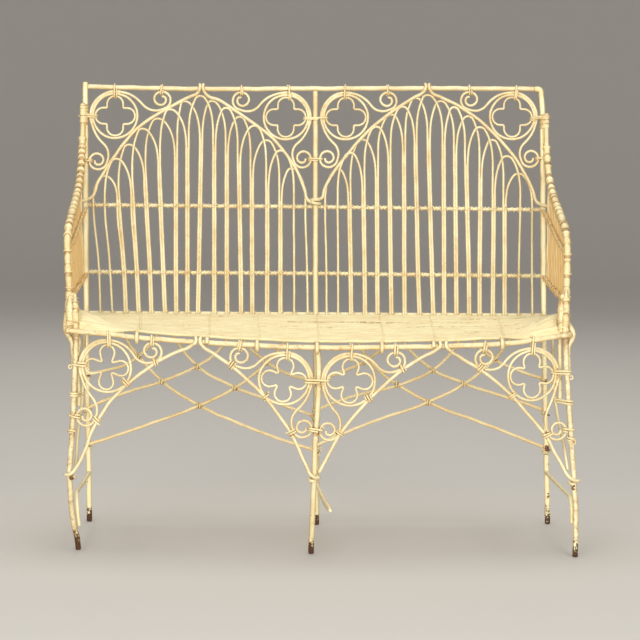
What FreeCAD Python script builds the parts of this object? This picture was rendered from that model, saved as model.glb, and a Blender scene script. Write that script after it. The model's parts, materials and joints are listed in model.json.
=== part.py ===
import FreeCAD, Part
import math, os

# ---------------------------------------------------------------- driving dimensions (mm)
POST_D = 11.5          # rear posts and rear legs, round iron rod
LEG_D = 11.0           # front legs
TOP_RAIL_D = 9.8
FRONT_RAIL_D = 10.3
ARM_D = 10.8
TAIL_D = 9.0           # second rod that stiffens the front end of each arm
SEAT_FRAME_D = 9.0     # side and rear rails of the seat frame
BEARER_D = 8.0         # seven bearers under the seat
MID_RAIL_D = 7.0       # two rails across the back, two along each side
RIB_D = 7.1            # ribs of the pointed arches
LANCET_D = 5.0         # interlaced hairpin rods of the back
RING_D = 5.4           # rings and scrolls
FOIL_D = 4.6           # quatrefoils
LATTICE_D = 6.7
STRETCHER_D = 8.0
SEAT_ROD_D = 6.0
WIRE_D = 2.5           # soft binding wire

SEAT_BACK_Y = 190.0    # line of the rear posts at seat height
SEAT_BACK_Z = 454.0
RAKE = 0.105           # lean of the back, run over rise
BACK_LEG_SPLAY = 0.03
FRONT_Y = -200.0       # line of the front corners
BOW_FLOOR = 15.0       # forward bow of the front at floor level
BOW_SEAT = 75.0        # forward bow of the front at z = 430
HALF_W = 500.0

BACK_RING_R = 47.3
APRON_RING_R = 49.4
SEAT_RODS = 31
SEAT_REAR_Y = 176.0    # first seat rod
SEAT_REAR_Z = 447.0
UPPER_Z = (678.1, 677.0, 673.7)   # upper back rail: left, middle, right
LOWER_Z = (536.2, 535.6, 532.8)   # lower back rail

BARS_L_U = [-472.8, -448.1, -419.7, -389.5, -361.0, -330.5, -298.2, -273.5, -246.9, -216.5, -189.9, -162.6, -136.6, -103.6, -75.7, -47.1, -22.4]
BARS_L_W = [-460.4, -436.4, -407.3, -379.9, -352.3, -323.8, -297.2, -272.5, -248.5, -215.5, -188.9, -159.4, -135.1, -102.8, -74.9, -45.7, -18.0]
BARS_L_S = [-457.0, -431.3, -402.8, -375.4, -348.7, -319.3, -295.8, -272.0, -249.8, -215.0, -187.3, -158.0, -134.2, -102.9, -74.4, -45.2, -16.3]
BARS_R_U = [19.8, 46.4, 71.8, 101.7, 130.2, 157.6, 188.1, 214.7, 243.8, 272.4, 297.8, 322.5, 350.5, 378.7, 402.6, 435.1, 461.2]
BARS_R_W = [23.1, 47.8, 74.8, 104.3, 131.5, 160.1, 189.1, 218.3, 248.2, 273.5, 299.6, 326.2, 349.7, 378.1, 403.1, 433.0, 461.6]
BARS_R_S = [23.9, 48.2, 76.1, 105.3, 132.3, 161.8, 190.1, 221.8, 251.1, 273.9, 300.5, 327.2, 350.0, 377.5, 403.3, 432.8, 462.5]
APEX_L = [(-449.5, 739.8), (-425.9, 776.5), (-400.0, 806.8), (-370.7, 840.8), (-338.7, 862.7), (-312.6, 882.3), (-281.7, 900.3), (-248.1, 911.4), (-223.3, 900.8), (-192.9, 886.1), (-163.4, 867.8), (-131.5, 848.7), (-105.9, 818.0), (-76.6, 796.5), (-52.7, 758.4)]
APEX_R = [(47.1, 757.4), (72.5, 792.2), (98.4, 820.9), (128.2, 848.3), (160.7, 874.5), (183.9, 891.3), (212.5, 910.5), (236.0, 916.8), (264.7, 903.8), (293.4, 891.0), (324.2, 872.3), (348.7, 849.0), (375.9, 822.0), (406.6, 787.7), (431.7, 750.8)]
RIB_1 = [(-481.5, 691.5), (-474.6, 697.4), (-470.3, 707.0), (-466.4, 720.5), (-448.1, 752.8), (-428.8, 782.8), (-407.9, 812.5), (-384.7, 838.0), (-347.9, 866.1), (-308.0, 889.5), (-272.1, 908.8), (-252.6, 919.2)]
RIB_2 = [(-238.6, 919.4), (-200.7, 898.8), (-166.0, 875.6), (-130.9, 851.8), (-98.3, 827.2), (-63.8, 788.1), (-38.6, 748.9), (-26.1, 719.3), (-15.2, 689.6)]
RIB_3 = [(10.7, 694.9), (18.1, 715.3), (31.0, 740.7), (62.9, 784.7), (85.6, 812.3), (112.2, 841.0), (146.4, 869.3), (176.9, 891.7), (207.4, 910.2), (227.4, 922.7)]
RIB_4 = [(245.6, 922.4), (268.3, 911.3), (306.6, 892.0), (345.0, 865.6), (383.1, 831.8), (417.7, 792.4), (444.5, 752.2), (461.5, 717.4), (474.4, 688.1)]
BACK_RINGS = [(-428.8, 867.6), (-65.1, 867.2), (62.7, 868.1), (417.7, 871.0)]
BACK_VOL_RAIL = [(-330.1, 904.5), (-159.8, 903.8), (152.0, 905.8), (327.3, 908.1)]
BACK_VOL_POST = [(-465.9, 772.8), (-28.1, 780.0), (24.4, 780.8), (457.5, 784.4)]
APRON_RIB_1 = [(-480.4, 165.3), (-472.2, 178.7), (-458.7, 209.0), (-445.1, 245.7), (-432.2, 269.0), (-412.2, 300.2), (-390.6, 324.3), (-354.4, 356.4), (-319.8, 382.0), (-280.9, 403.2), (-246.5, 419.5)]
APRON_RIB_2 = [(-224.9, 416.5), (-204.3, 402.2), (-173.3, 381.2), (-139.1, 352.4), (-104.9, 318.3), (-80.0, 286.2), (-58.0, 254.7), (-40.7, 223.2), (-26.6, 189.1), (-16.6, 165.9)]
APRON_RIB_3 = [(4.7, 164.2), (11.1, 182.6), (25.0, 210.7), (46.1, 248.4), (71.8, 281.6), (96.1, 309.9), (121.3, 334.6), (144.6, 356.8), (169.7, 376.6), (197.2, 394.6), (232.4, 414.7)]
APRON_RIB_4 = [(257.2, 411.7), (278.3, 397.3), (317.1, 374.2), (347.3, 351.8), (380.8, 321.4), (404.6, 295.7), (431.2, 265.9), (455.7, 235.5), (474.5, 200.0), (496.2, 156.6)]
APRON_RINGS = [(-416.5, 371.4), (-67.0, 352.6), (62.2, 351.0), (423.1, 359.3)]
APRON_VOL_RAIL = [(-326.3, 406.1), (-153.5, 399.0), (150.9, 392.8), (327.5, 396.6)]
APRON_VOL_POST = [(-460.0, 273.3), (-28.7, 256.5), (20.7, 251.6), (477.4, 249.8)]
APRON_RIB_TIES = [(-319.1, 382.6), (-376.7, 338.4), (-434.0, 266.0), (-171.7, 379.7), (-104.1, 317.3), (-52.4, 245.7), (166.4, 374.0), (100.7, 314.9), (44.5, 244.8), (317.5, 374.0), (383.3, 319.2), (452.4, 239.6)]
LAT_LA = [(-481.0, 168.2), (-362.1, 208.7), (-247.0, 252.6), (-170.9, 290.4), (-134.2, 317.5), (-104.5, 344.5), (-85.4, 363.9)]
LAT_LB = [(-11.5, 157.6), (-127.2, 200.2), (-247.0, 252.6), (-326.8, 304.0), (-362.2, 342.0), (-397.1, 385.7)]
LAT_LC = [(-477.2, 245.7), (-410.5, 277.3), (-326.8, 304.0), (-252.7, 336.6), (-216.6, 360.1), (-196.2, 382.5)]
LAT_LD = [(-12.0, 231.0), (-108.3, 268.1), (-172.5, 292.5), (-247.2, 334.0), (-274.9, 361.7), (-290.7, 382.9)]
LAT_LE = [(-482.7, 320.9), (-438.8, 328.5), (-404.8, 339.4), (-375.0, 358.0), (-351.6, 381.7)]
LAT_LF = [(-14.7, 310.6), (-78.8, 330.7), (-107.7, 349.8), (-136.6, 374.3)]
LAT_RA = [(11.3, 170.7), (118.6, 217.6), (242.2, 262.5), (318.0, 301.7), (354.7, 328.7), (385.7, 357.9), (398.9, 375.2)]
LAT_RB = [(495.1, 163.4), (369.1, 214.0), (244.3, 261.4), (174.6, 300.9), (144.7, 322.2), (119.5, 347.9)]
LAT_RC = [(10.8, 246.8), (79.6, 273.5), (197.6, 305.3), (249.9, 330.3), (275.3, 351.9), (289.0, 368.1)]
LAT_RD = [(493.8, 244.4), (425.9, 268.2), (316.5, 303.8), (254.0, 330.6), (224.0, 352.7), (203.9, 372.6)]
LAT_RE = [(12.0, 310.7), (68.4, 331.3), (102.4, 348.8), (137.2, 372.6)]
LAT_RF = [(490.9, 313.4), (419.5, 337.7), (379.9, 356.8), (355.3, 376.0)]
LAT_TIES = [(-247.0, 252.6), (-326.8, 304.0), (-171.0, 291.0), (-250.8, 335.3), (-375.0, 358.0), (-106.6, 347.0), (242.8, 262.1), (174.6, 300.9), (317.6, 301.9), (251.4, 331.4), (383.2, 355.1), (102.4, 348.8)]
FRONT_RAIL = [(-485.2, 441.7), (-413.7, 436.7), (-334.2, 430.3), (-251.4, 425.8), (-153.4, 421.6), (-65.5, 418.0), (22.3, 416.8), (120.1, 417.8), (208.6, 418.8), (297.8, 420.6), (380.6, 424.4), (434.7, 430.2), (491.3, 438.4)]

# ---------------------------------------------------------------- small vector kit
def add(a, b): return (a[0] + b[0], a[1] + b[1], a[2] + b[2])
def sub(a, b): return (a[0] - b[0], a[1] - b[1], a[2] - b[2])
def mul(a, k): return (a[0] * k, a[1] * k, a[2] * k)
def dot(a, b): return a[0] * b[0] + a[1] * b[1] + a[2] * b[2]
def cross(a, b): return (a[1] * b[2] - a[2] * b[1], a[2] * b[0] - a[0] * b[2], a[0] * b[1] - a[1] * b[0])
def norm(a): return math.sqrt(dot(a, a))
def unit(a): return mul(a, 1.0 / norm(a))
def lerp(a, b, t): return add(mul(a, 1 - t), mul(b, t))


# ---------------------------------------------------------------- paths of straight runs and arcs
def arc_from(p, t, q):
    """Arc that leaves p along t and ends in q, or a straight run."""
    c = sub(q, p)
    L = norm(c)
    u = mul(c, 1 / L)
    n = sub(t, mul(u, dot(t, u)))
    s = norm(n)
    if s < 1e-5:
        return ("L", p, q)
    phi = math.atan2(s, dot(t, u))
    m = add(lerp(p, q, 0.5), mul(n, L / 2 * math.tan(phi / 2) / s))
    return ("A", p, m, q)


def biarc(p, t, q, s):
    """Two tangent arcs from p along t to q along s."""
    v = sub(q, p)
    w = add(t, s)
    k = 2 * (1 - dot(t, s))
    vw = dot(v, w)
    if k < 1e-9:
        d = dot(v, v) / (2 * vw)
    else:
        d = (-vw + math.sqrt(vw * vw + k * dot(v, v))) / k
    m = mul(add(add(p, mul(t, d)), sub(q, mul(s, d))), 0.5)
    a = arc_from(p, t, m)
    b = arc_from(q, mul(s, -1), m)
    b = ("L", m, q) if b[0] == "L" else ("A", m, b[2], q)
    return [a, b]


def tangents(pts, t0=None, t1=None, closed=False):
    n = len(pts)
    T = []
    for i in range(n):
        if closed or 0 < i < n - 1:
            a = sub(pts[i], pts[i - 1])
            b = sub(pts[(i + 1) % n], pts[i])
            la, lb = norm(a), norm(b)
            T.append(unit(add(mul(a, lb / la), mul(b, la / lb))))
        else:
            T.append(None)
    if not closed:
        if t0 is None:
            u = unit(sub(pts[1], pts[0]))
            r = T[1] if n > 2 else u
            t0 = sub(mul(u, 2 * dot(u, r)), r)
        if t1 is None:
            u = unit(sub(pts[-1], pts[-2]))
            r = T[-2] if n > 2 else u
            t1 = sub(mul(u, 2 * dot(u, r)), r)
        T[0], T[-1] = unit(t0), unit(t1)
    return T


def smooth(pts, t0=None, t1=None):
    """Smooth run through the points, as tangent arcs."""
    T = tangents(pts, t0, t1)
    path = []
    for i in range(len(pts) - 1):
        path += biarc(pts[i], T[i], pts[i + 1], T[i + 1])
    return path


def bent(pts, radii, closed=False):
    """Straight runs with a rounded bend at each inner point."""
    n = len(pts)
    path = []
    idx = range(n) if closed else range(1, n - 1)
    cuts = {}
    for j, i in enumerate(idx):
        p, a, b = pts[i], pts[i - 1], pts[(i + 1) % n]
        u, v = unit(sub(p, a)), unit(sub(b, p))
        turn = math.acos(max(-1, min(1, dot(u, v))))
        r = radii[j] if isinstance(radii, (list, tuple)) else radii
        d = r * math.tan(turn / 2)
        if turn < 1e-4:
            cuts[i] = (p, None, p)
            continue
        s, e = sub(p, mul(u, d)), add(p, mul(v, d))
        c = unit(sub(v, u))
        m = add(p, mul(c, r / math.cos(turn / 2) - r))
        cuts[i] = (s, m, e)
    order = list(range(n))
    last = cuts[0][2] if closed else pts[0]
    for i in order[1:] + ([0] if closed else []):
        if i in cuts:
            s, m, e = cuts[i]
            if norm(sub(s, last)) > 1e-6:
                path.append(("L", last, s))
            if m is not None:
                path.append(("A", s, m, e))
            last = e
        else:
            path.append(("L", last, pts[i]))
            last = pts[i]
    return path


def arc_circle(seg):
    """Centre, axis and angle of an arc segment."""
    p, m, q = seg[1], seg[2], seg[3]
    a, b = sub(m, p), sub(q, p)
    ax = cross(a, b)
    k = dot(ax, ax)
    c = add(p, mul(add(mul(cross(ax, a), dot(b, b)), mul(cross(b, ax), dot(a, a))), 0.5 / k))
    n = unit(ax)
    u, v = sub(p, c), sub(q, c)
    ang = math.atan2(dot(cross(u, v), n), dot(u, v))
    if ang < 0:
        ang += 2 * math.pi
    return c, n, ang


def rot(v, n, a):
    return add(add(mul(v, math.cos(a)), mul(cross(n, v), math.sin(a))), mul(n, dot(n, v) * (1 - math.cos(a))))


def seg_length(s):
    if s[0] == "L":
        return norm(sub(s[2], s[1]))
    c, n, a = arc_circle(s)
    return a * norm(sub(s[1], c))


def path_length(path): return sum(seg_length(s) for s in path)


def start_dir(path):
    s = path[0]
    if s[0] == "L":
        return unit(sub(s[2], s[1]))
    c, n, a = arc_circle(s)
    return unit(cross(n, sub(s[1], c)))


def at(path, d):
    """Point and direction at distance d along the path."""
    for s in path:
        L = seg_length(s)
        if d <= L + 1e-9 or s is path[-1]:
            if s[0] == "L":
                u = unit(sub(s[2], s[1]))
                return add(s[1], mul(u, d)), u
            c, n, a = arc_circle(s)
            w = rot(sub(s[1], c), n, a * d / L)
            return add(c, w), unit(cross(n, w))
        d -= L


def stadium(P, u, v, a, b):
    """Closed loop of wire round a bundle: half length a along u, half width b along v."""
    a = max(a, b + 0.05)
    h = mul(u, a - b)
    p1, p2 = add(add(P, h), mul(v, b)), sub(add(P, h), mul(v, b))
    p3, p4 = sub(sub(P, h), mul(v, b)), add(sub(P, h), mul(v, b))
    return [("A", p1, add(P, mul(u, a)), p2), ("L", p2, p3), ("A", p3, sub(P, mul(u, a)), p4), ("L", p4, p1)]


def hoop(P, axis, R):
    """Closed circle of wire round one rod."""
    u = unit(cross(axis, (0.0, 0.0, 1.0) if abs(axis[2]) < 0.9 else (1.0, 0.0, 0.0)))
    v = unit(cross(axis, u))
    a, b = add(P, mul(u, R)), sub(P, mul(u, R))
    return [("A", a, add(P, mul(v, R)), b), ("A", b, sub(P, mul(v, R)), a)]


# ---------------------------------------------------------------- the three surfaces of the bench
def back_y(z): return SEAT_BACK_Y + (z - SEAT_BACK_Z) * RAKE
def B(x, z, n=0.0): return (x, back_y(z) - n, z)


def front_y(x, z): return FRONT_Y - (BOW_FLOOR + (BOW_SEAT - BOW_FLOOR) * z / 430.0) * (1 - (x / HALF_W) ** 2)
def A(x, z, n=0.0): return (x, front_y(x, z) - n, z)


def L3(x, z, n=0.0): return (x, SEAT_BACK_Y + (440.0 - z) * BACK_LEG_SPLAY - n, z)


X1, Y1, Z1 = (1.0, 0.0, 0.0), (0.0, 1.0, 0.0), (0.0, 0.0, 1.0)


def along(table, x):
    """Height of a tabled line at x."""
    for (xa, za), (xb, zb) in zip(table, table[1:]):
        if x <= xb:
            return za + (zb - za) * (x - xa) / (xb - xa)
    return zb


def rail_z(levels, x):
    if x < 0:
        return levels[1] + (levels[0] - levels[1]) * (-x / 480.0)
    return levels[1] + (levels[2] - levels[1]) * (x / 480.0)


PARTS = {}


def rod(node, path, d, closed=False):
    PARTS.setdefault(node, []).append((path, d / 2.0, closed))


def tie(node, P, u, v, a, b, d=WIRE_D):
    rod(node, stadium(P, unit(u), unit(v), a + d / 2, b + d / 2), d, True)

def hermite(pts, T):
    """Smooth run through the points; a direction given as None follows the neighbours."""
    auto = tangents(pts, T[0], T[-1])
    T = [unit(t) if t else a for t, a in zip(T, auto)]
    path = []
    for i in range(len(pts) - 1):
        path += biarc(pts[i], T[i], pts[i + 1], T[i + 1])
    return path


# ---------------------------------------------------------------- frame of the back
POST_L = [(-481.6, 210.2, 0.0), (-481.6, 210.2, 14.0), (-486.9, 189.9, 452.0), (-493.0, 240.9, 939.0)]
POST_R = [(502.2, 204.1, 0.0), (502.2, 204.1, 14.0), (486.6, 189.7, 451.0), (483.0, 234.7, 880.0), (479.4, 240.0, 930.9), (466.0, 240.0, 931.1)]
POST_C = [(5.4, 178.0, 0.0), (5.4, 178.0, 14.0), (0.5, 190.0, 452.0), (-2.6, 239.4, 923.6)]


def post_x(post, z):
    """X of a rear post at height z."""
    for p, q in zip(post, post[1:]):
        if p[2] <= z <= q[2]:
            return p[0] + (q[0] - p[0]) * (z - p[2]) / (q[2] - p[2])
    return post[-1][0]


def post_y(post, z):
    for p, q in zip(post, post[1:]):
        if p[2] <= z <= q[2]:
            return p[1] + (q[1] - p[1]) * (z - p[2]) / (q[2] - p[2])
    return post[-1][1]


rod("left_rear_post", bent(POST_L, [150, 500]), POST_D)
rod("right_rear_post", bent(POST_R, [150, 500, 200, 6.4]), POST_D)
rod("centre_rear_post", bent(POST_C, [150, 500]), POST_D)
TOP_RAIL = [(-487.2, 929.8), (-259.0, 926.2), (7.0, 928.8), (300.0, 931.2), (466.0, 931.1)]
rod("top_rail", smooth([B(x, z) for x, z in TOP_RAIL]), TOP_RAIL_D)
MID_X = [(-490.0, -9.5), (-456.0, -6.3), (-425.0, -6.1), (-250.0, -6.1), (-75.0, -6.1), (-42.0, -6.3), (-11.0, -9.5), (11.0, -9.5), (42.0, -6.3),
         (75.0, -6.1), (250.0, -6.1), (420.0, -6.1), (452.0, -6.3), (486.0, -9.5)]
rod("upper_back_rail", smooth([B(x, rail_z(UPPER_Z, x), n) for x, n in MID_X]), MID_RAIL_D)
rod("lower_back_rail", smooth([B(x, rail_z(LOWER_Z, x), n) for x, n in MID_X]), MID_RAIL_D)
rod("rear_seat_rail", smooth([(x, 190.8 - n, 449.0) for x, n in MID_X]), SEAT_FRAME_D)

# ---------------------------------------------------------------- interlaced lancets of the back
LANCET_PAIR = 2.55     # the two rods of a pair lie side by side
LANCET_LAYER = 5.2     # even lancets lie in front of odd ones
LANCET_FOOT_Z = 447.0


def lancet(side, k):
    U, W, S, apex = (BARS_L_U, BARS_L_W, BARS_L_S, APEX_L) if side == "L" else (BARS_R_U, BARS_R_W, BARS_R_S, APEX_R)
    n = 0.0 if k % 2 else LANCET_LAYER
    xa, za = apex[k - 1]
    limbs = []
    for i, off in ((k - 1, LANCET_PAIR), (k + 1, -LANCET_PAIR)):
        off = off if 2 <= i <= 14 else 0.0
        xs, xw, xu = S[i] + off, W[i] + off, U[i] + off
        zw, zu = rail_z(LOWER_Z, xw), rail_z(UPPER_Z, xu)
        h = min(80.0, za - zu - 12.0)
        zt = za - h
        xt = xu + (xu - xw) * (zt - zu) / (zu - zw) * 0.8
        c, s = math.cos(math.radians(50)), math.sin(math.radians(50))
        a = xa - xt
        pts = [B(xs, LANCET_FOOT_Z, n), B(xw, zw, n), B(xu, zu, n), B(xt, zt, n), B(xt + a * (1 - c), zt + h * s, n)]
        if zt - zu < 40:
            del pts[2]
        T = [None] * (len(pts) - 2) + [(0.0, RAKE, 1.0), (a * s, RAKE * h * c, h * c)]
        limbs.append((pts, T))
    (p, tp), (q, tq) = limbs
    pts = p + [B(xa, za, n)] + q[::-1]
    T = tp + [X1] + [None if t is None else mul(t, -1) for t in tq[::-1]]
    return hermite(pts, T)


for side, name in (("L", "left"), ("R", "right")):
    for k in range(1, 16):
        rod("%s_lancets_%s" % (name, "rear" if k % 2 else "front"), lancet(side, k), LANCET_D)

# ---------------------------------------------------------------- ribs of the back, hooked over the top rail and round the posts
RIB_N = 2.6
HOOK = TOP_RAIL_D / 2 + RIB_D / 2 + 0.3
WRAP = POST_D / 2 + RIB_D / 2 + 0.3


def rail_hook(x):
    z = along(TOP_RAIL, x)
    return [B(x, z + 0.5, HOOK), B(x, z + HOOK, 0.0), B(x, z - 1.0, -HOOK)]


def post_wrap(post, z, side):
    """Quarter by quarter round a post, from the front to the far side and behind; side is where it goes round."""
    x, y = post_x(post, z), post_y(post, z)
    return [(x, y - WRAP, z), (x + side * WRAP, y, z - 1.0), (x - side * 1.0, y + WRAP, z - 1.5)]


rod("back_rib_1", smooth(post_wrap(POST_L, 688.0, -1)[::-1] + [B(x, z, RIB_N) for x, z in RIB_1[:-1]] + [B(*RIB_1[-1], 6.0)] + rail_hook(-249.0)), RIB_D)
rod("back_rib_2", smooth(rail_hook(-241.5)[::-1] + [B(*RIB_2[0], 6.0)] + [B(x, z, RIB_N) for x, z in RIB_2[1:]] + post_wrap(POST_C, 684.8, 1)), RIB_D)
rod("back_rib_3", smooth(post_wrap(POST_C, 692.6, -1)[::-1] + [B(x, z, RIB_N) for x, z in RIB_3[:-1]] + [B(*RIB_3[-1], 6.0)] + rail_hook(232.3)), RIB_D)
rod("back_rib_4", smooth(rail_hook(240.6)[::-1] + [B(*RIB_4[0], 6.0)] + [B(x, z, RIB_N) for x, z in RIB_4[1:]] + post_wrap(POST_R, 683.2, 1)), RIB_D)


# ---------------------------------------------------------------- rings, quatrefoils and scrolls
def plane_back(x, z, n):
    return B(x, z, n), X1, unit((0.0, RAKE, 1.0))


def plane_apron(x, z, n):
    d = 1.0
    e1 = unit(sub(A(x + d, z, n), A(x - d, z, n)))
    e2 = sub(A(x, z + d, n), A(x, z - d, n))
    e2 = unit(sub(e2, mul(e1, dot(e1, e2))))
    return A(x, z, n), e1, e2


def place(frame, u, w):
    C, e1, e2 = frame
    return add(C, add(mul(e1, u), mul(e2, w)))


def ring(frame, R):
    p = [place(frame, R * math.cos(t), R * math.sin(t)) for t in (0, math.pi / 2, math.pi, 1.5 * math.pi)]
    return [("A", p[0], p[1], p[2]), ("A", p[2], p[3], p[0])]


def quatrefoil(frame, tip, r, k, rf=2.7, turn=0.0):
    """Four round lobes that reach out to tip, with cusps at (k, k), the whole turned a little in its plane."""
    ct, st = math.cos(math.radians(turn)), math.sin(math.radians(turn))
    d = tip - r
    vx, vy = k, k - d
    D = math.hypot(vx, vy)
    a = math.atan2(vy, vx) + math.acos(r / D)
    qx, qy = r * math.cos(a), d + r * math.sin(a)
    dx, dy = k - qx, k - qy
    L = math.hypot(dx, dy)
    dx, dy = dx / L, dy / L
    # direction into the cusp is (dx, dy); out of it is the same line mirrored in the diagonal
    ox, oy = -dy, -dx
    bend = math.acos(max(-1, min(1, dx * ox + dy * oy)))
    t = rf * math.tan(bend / 2)
    s, e = (k - dx * t, k - dy * t), (k + ox * t, k + oy * t)
    m = rf / math.cos(bend / 2) - rf
    m = (k + m / math.sqrt(2), k + m / math.sqrt(2))
    path = []
    spin = lambda p: (p[0] * ct - p[1] * st, p[0] * st + p[1] * ct)
    R4 = lambda p, i: place(frame, *spin([(p[0], p[1]), (p[1], -p[0]), (-p[0], -p[1]), (-p[1], p[0])][i]))
    for i in range(4):
        path += [("A", R4((-qx, qy), i), R4((0.0, tip), i), R4((qx, qy), i)),
                 ("L", R4((qx, qy), i), R4(s, i)), ("A", R4(s, i), R4(m, i), R4(e, i)),
                 ("L", R4(e, i), R4((-qx, qy), (i + 1) % 4))]
    return path


RAIL_SPIRAL = [22.6, 18.6, 15.2, 15.6, 13.0, 8.8, 4.6]
POST_SPIRAL = [21.6, 19.2, 16.4, 14.6, 12.6, 9.0, 4.6]


def volute(cx, cz, radii, start, sense, turns):
    pts = []
    steps = int(turns * 8 + 0.5)
    for j in range(steps + 1):
        q = j / 2.0
        i = min(int(q), len(radii) - 2)
        r = radii[i] + (radii[i + 1] - radii[i]) * (q - i)
        a = math.radians(start + sense * 45 * j)
        pts.append((cx + r * math.cos(a), cz + r * math.sin(a)))
    return pts


def scroll(chart, c, R, rail_c, post_c, sx, n, scale=1.0):
    """One rod: a volute beside the post, a hug round the outer quarter of the ring, a volute under the rail."""
    Rh = R + RING_D
    rc = (sx * (rail_c[0] - c[0]), rail_c[1] - c[1])
    pc = (sx * (post_c[0] - c[0]), post_c[1] - c[1])
    top = volute(rc[0], rc[1], [v * scale for v in RAIL_SPIRAL], 270, 1, 1.5)
    low = volute(pc[0], pc[1], [v * scale for v in POST_SPIRAL], 0, -1, 1.5)
    hug = [(Rh * math.cos(math.radians(a)), Rh * math.sin(math.radians(a))) for a in range(206, 71, -19)]
    to3 = lambda p: chart(c[0] + sx * p[0], c[1] + p[1], n)
    return smooth([to3(p) for p in low[::-1] + hug + top])


for i, c in enumerate(BACK_RINGS):
    f = plane_back(c[0], c[1], RIB_N)
    sx = 1 if i % 2 == 0 else -1
    rod("back_rings", ring(f, BACK_RING_R), RING_D, True)
    rod("back_quatrefoils", quatrefoil(f, BACK_RING_R - RING_D / 2 - FOIL_D / 2, 17.2, 17.2), FOIL_D, True)
    rod("back_scrolls", scroll(B, c, BACK_RING_R, BACK_VOL_RAIL[i], BACK_VOL_POST[i], sx, RIB_N), RING_D)

APRON_N = 0.0
APRON_FOIL = [(14.8, 9.0, -2.9), (16.2, 10.5, -5.0), (16.0, 10.5, -1.6), (17.2, 14.0, 2.0)]    # lobe radius, cusp, turn
for i, c in enumerate(APRON_RINGS):
    f = plane_apron(c[0], c[1], APRON_N)
    sx = 1 if i % 2 == 0 else -1
    rod("apron_rings", ring(f, APRON_RING_R), RING_D, True)
    rod("apron_quatrefoils", quatrefoil(f, APRON_RING_R - RING_D / 2 - FOIL_D / 2, APRON_FOIL[i][0], APRON_FOIL[i][1], 2.6, APRON_FOIL[i][2]), FOIL_D, True)
    rod("apron_scrolls", scroll(A, c, APRON_RING_R, APRON_VOL_RAIL[i], APRON_VOL_POST[i], sx, APRON_N), RING_D)

# ---------------------------------------------------------------- front legs
LEG_L = [(-480.5, -198.5, 515.0), (-479.4, -199.0, 470.0), (-478.6, -199.5, 424.0), (-481.2, -200.0, 345.0), (-485.8, -200.5, 245.0), (-491.0, -198.0, 146.0), (-489.5, -192.0, 105.0), (-484.0, -179.0, 52.0), (-477.0, -166.5, 10.0), (-476.4, -165.8, 0.0)]
LEG_R = [(491.3, -199.0, 530.0), (490.4, -199.3, 470.0), (490.8, -199.6, 421.0), (495.6, -200.6, 345.0), (502.2, -201.0, 261.0), (511.0, -204.0, 150.0), (514.0, -213.0, 85.0), (512.6, -228.4, 10.0), (512.2, -230.0, 0.0)]
LEG_C = [(-1.5, -263.0, 414.0), (0.4, -263.0, 381.0), (-5.0, -245.0, 215.0), (-6.6, -236.0, 152.0), (-10.0, -212.0, 40.0), (-11.1, -205.0, 8.0), (-11.1, -204.4, 0.0)]
DOWN = (0.0, 0.0, -1.0)
rod("front_left_leg", smooth(LEG_L, None, DOWN), LEG_D)
rod("front_right_leg", smooth(LEG_R, None, DOWN), LEG_D)
rod("front_centre_leg", smooth(LEG_C, None, DOWN), LEG_D)


def near(points, z):
    for p, q in zip(points, points[1:]):
        if min(p[2], q[2]) <= z <= max(p[2], q[2]):
            t = (z - p[2]) / (q[2] - p[2])
            return lerp(p, q, t)
    return points[-1]


# ---------------------------------------------------------------- bowed front rail, cut off square just past the corner legs
RAIL_PTS = [A(x, z) for x, z in FRONT_RAIL]
LH = [(-498.0, -209.8, 442.9), (-484.0, -211.0, 441.8)]
RH = [(484.0, -210.8, 437.6), (502.4, -210.0, 439.6)]
rod("front_rail", smooth(LH + RAIL_PTS[1:-1] + RH), FRONT_RAIL_D)

# ---------------------------------------------------------------- ribs of the apron
LEGWRAP = LEG_D / 2 + RIB_D / 2 + 0.4
FHOOK = FRONT_RAIL_D / 2 + RIB_D / 2 + 0.4


def front_hook(x):
    z = along(FRONT_RAIL, x)
    return [A(x, z + 0.0, FHOOK), A(x, z + FHOOK, 0.0), A(x, z + 1.0, -FHOOK)]


def leg_hook(leg, z, angles):
    """Bends round a leg through the given angles, measured from its right side towards the back, going down."""
    out = []
    for j, a in enumerate(angles):
        zz = z - j * 1.6
        c = near(leg, zz)
        out.append((c[0] + LEGWRAP * math.cos(math.radians(a)), c[1] + LEGWRAP * math.sin(math.radians(a)), zz))
    return out


def leg_wrap(leg, z, side, turns=5):
    """Winds round a leg from the front, going to the given side, one and a quarter turns downwards."""
    out = []
    for j in range(turns):
        zz = z - j * 2.0
        c = near(leg, zz)
        a = -math.pi / 2 + side * j * math.pi / 2
        out.append((c[0] + LEGWRAP * math.cos(a), c[1] + LEGWRAP * math.sin(a), zz))
    return out


rod("apron_rib_1", smooth(leg_wrap(LEG_L, 157.0, -1)[::-1] + [A(x, z) for x, z in APRON_RIB_1[1:-1]] + [A(*APRON_RIB_1[-1], 6.5)] + front_hook(-240.5)), RIB_D)
rod("apron_rib_2", smooth(front_hook(-230.5)[::-1] + [A(*APRON_RIB_2[0], 6.5)] + [A(x, z) for x, z in APRON_RIB_2[1:-1]] + leg_wrap(LEG_C, 158.5, 1)), RIB_D)
rod("apron_rib_3", smooth(leg_hook(LEG_C, 168.0, (0, 55, 110, 150))[::-1] + [A(x, z) for x, z in APRON_RIB_3[1:-1]] + [A(*APRON_RIB_3[-1], 6.5)] + front_hook(237.5)), RIB_D)
rod("apron_rib_4", smooth(front_hook(250.5)[::-1] + [A(*APRON_RIB_4[0], 6.5)] + [A(x, z) for x, z in APRON_RIB_4[1:-1]] + leg_wrap(LEG_R, 150.0, 1)), RIB_D)

# ---------------------------------------------------------------- seat
BEARER_X = [-356.0, -218.0, -120.0, -3.0, 124.0, 225.5, 362.0]
SEAT_LIFT = 11.0       # seat rods above the front rail at the front edge
SEAT_INSET = 16.0      # front seat rod behind the front rail


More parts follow.
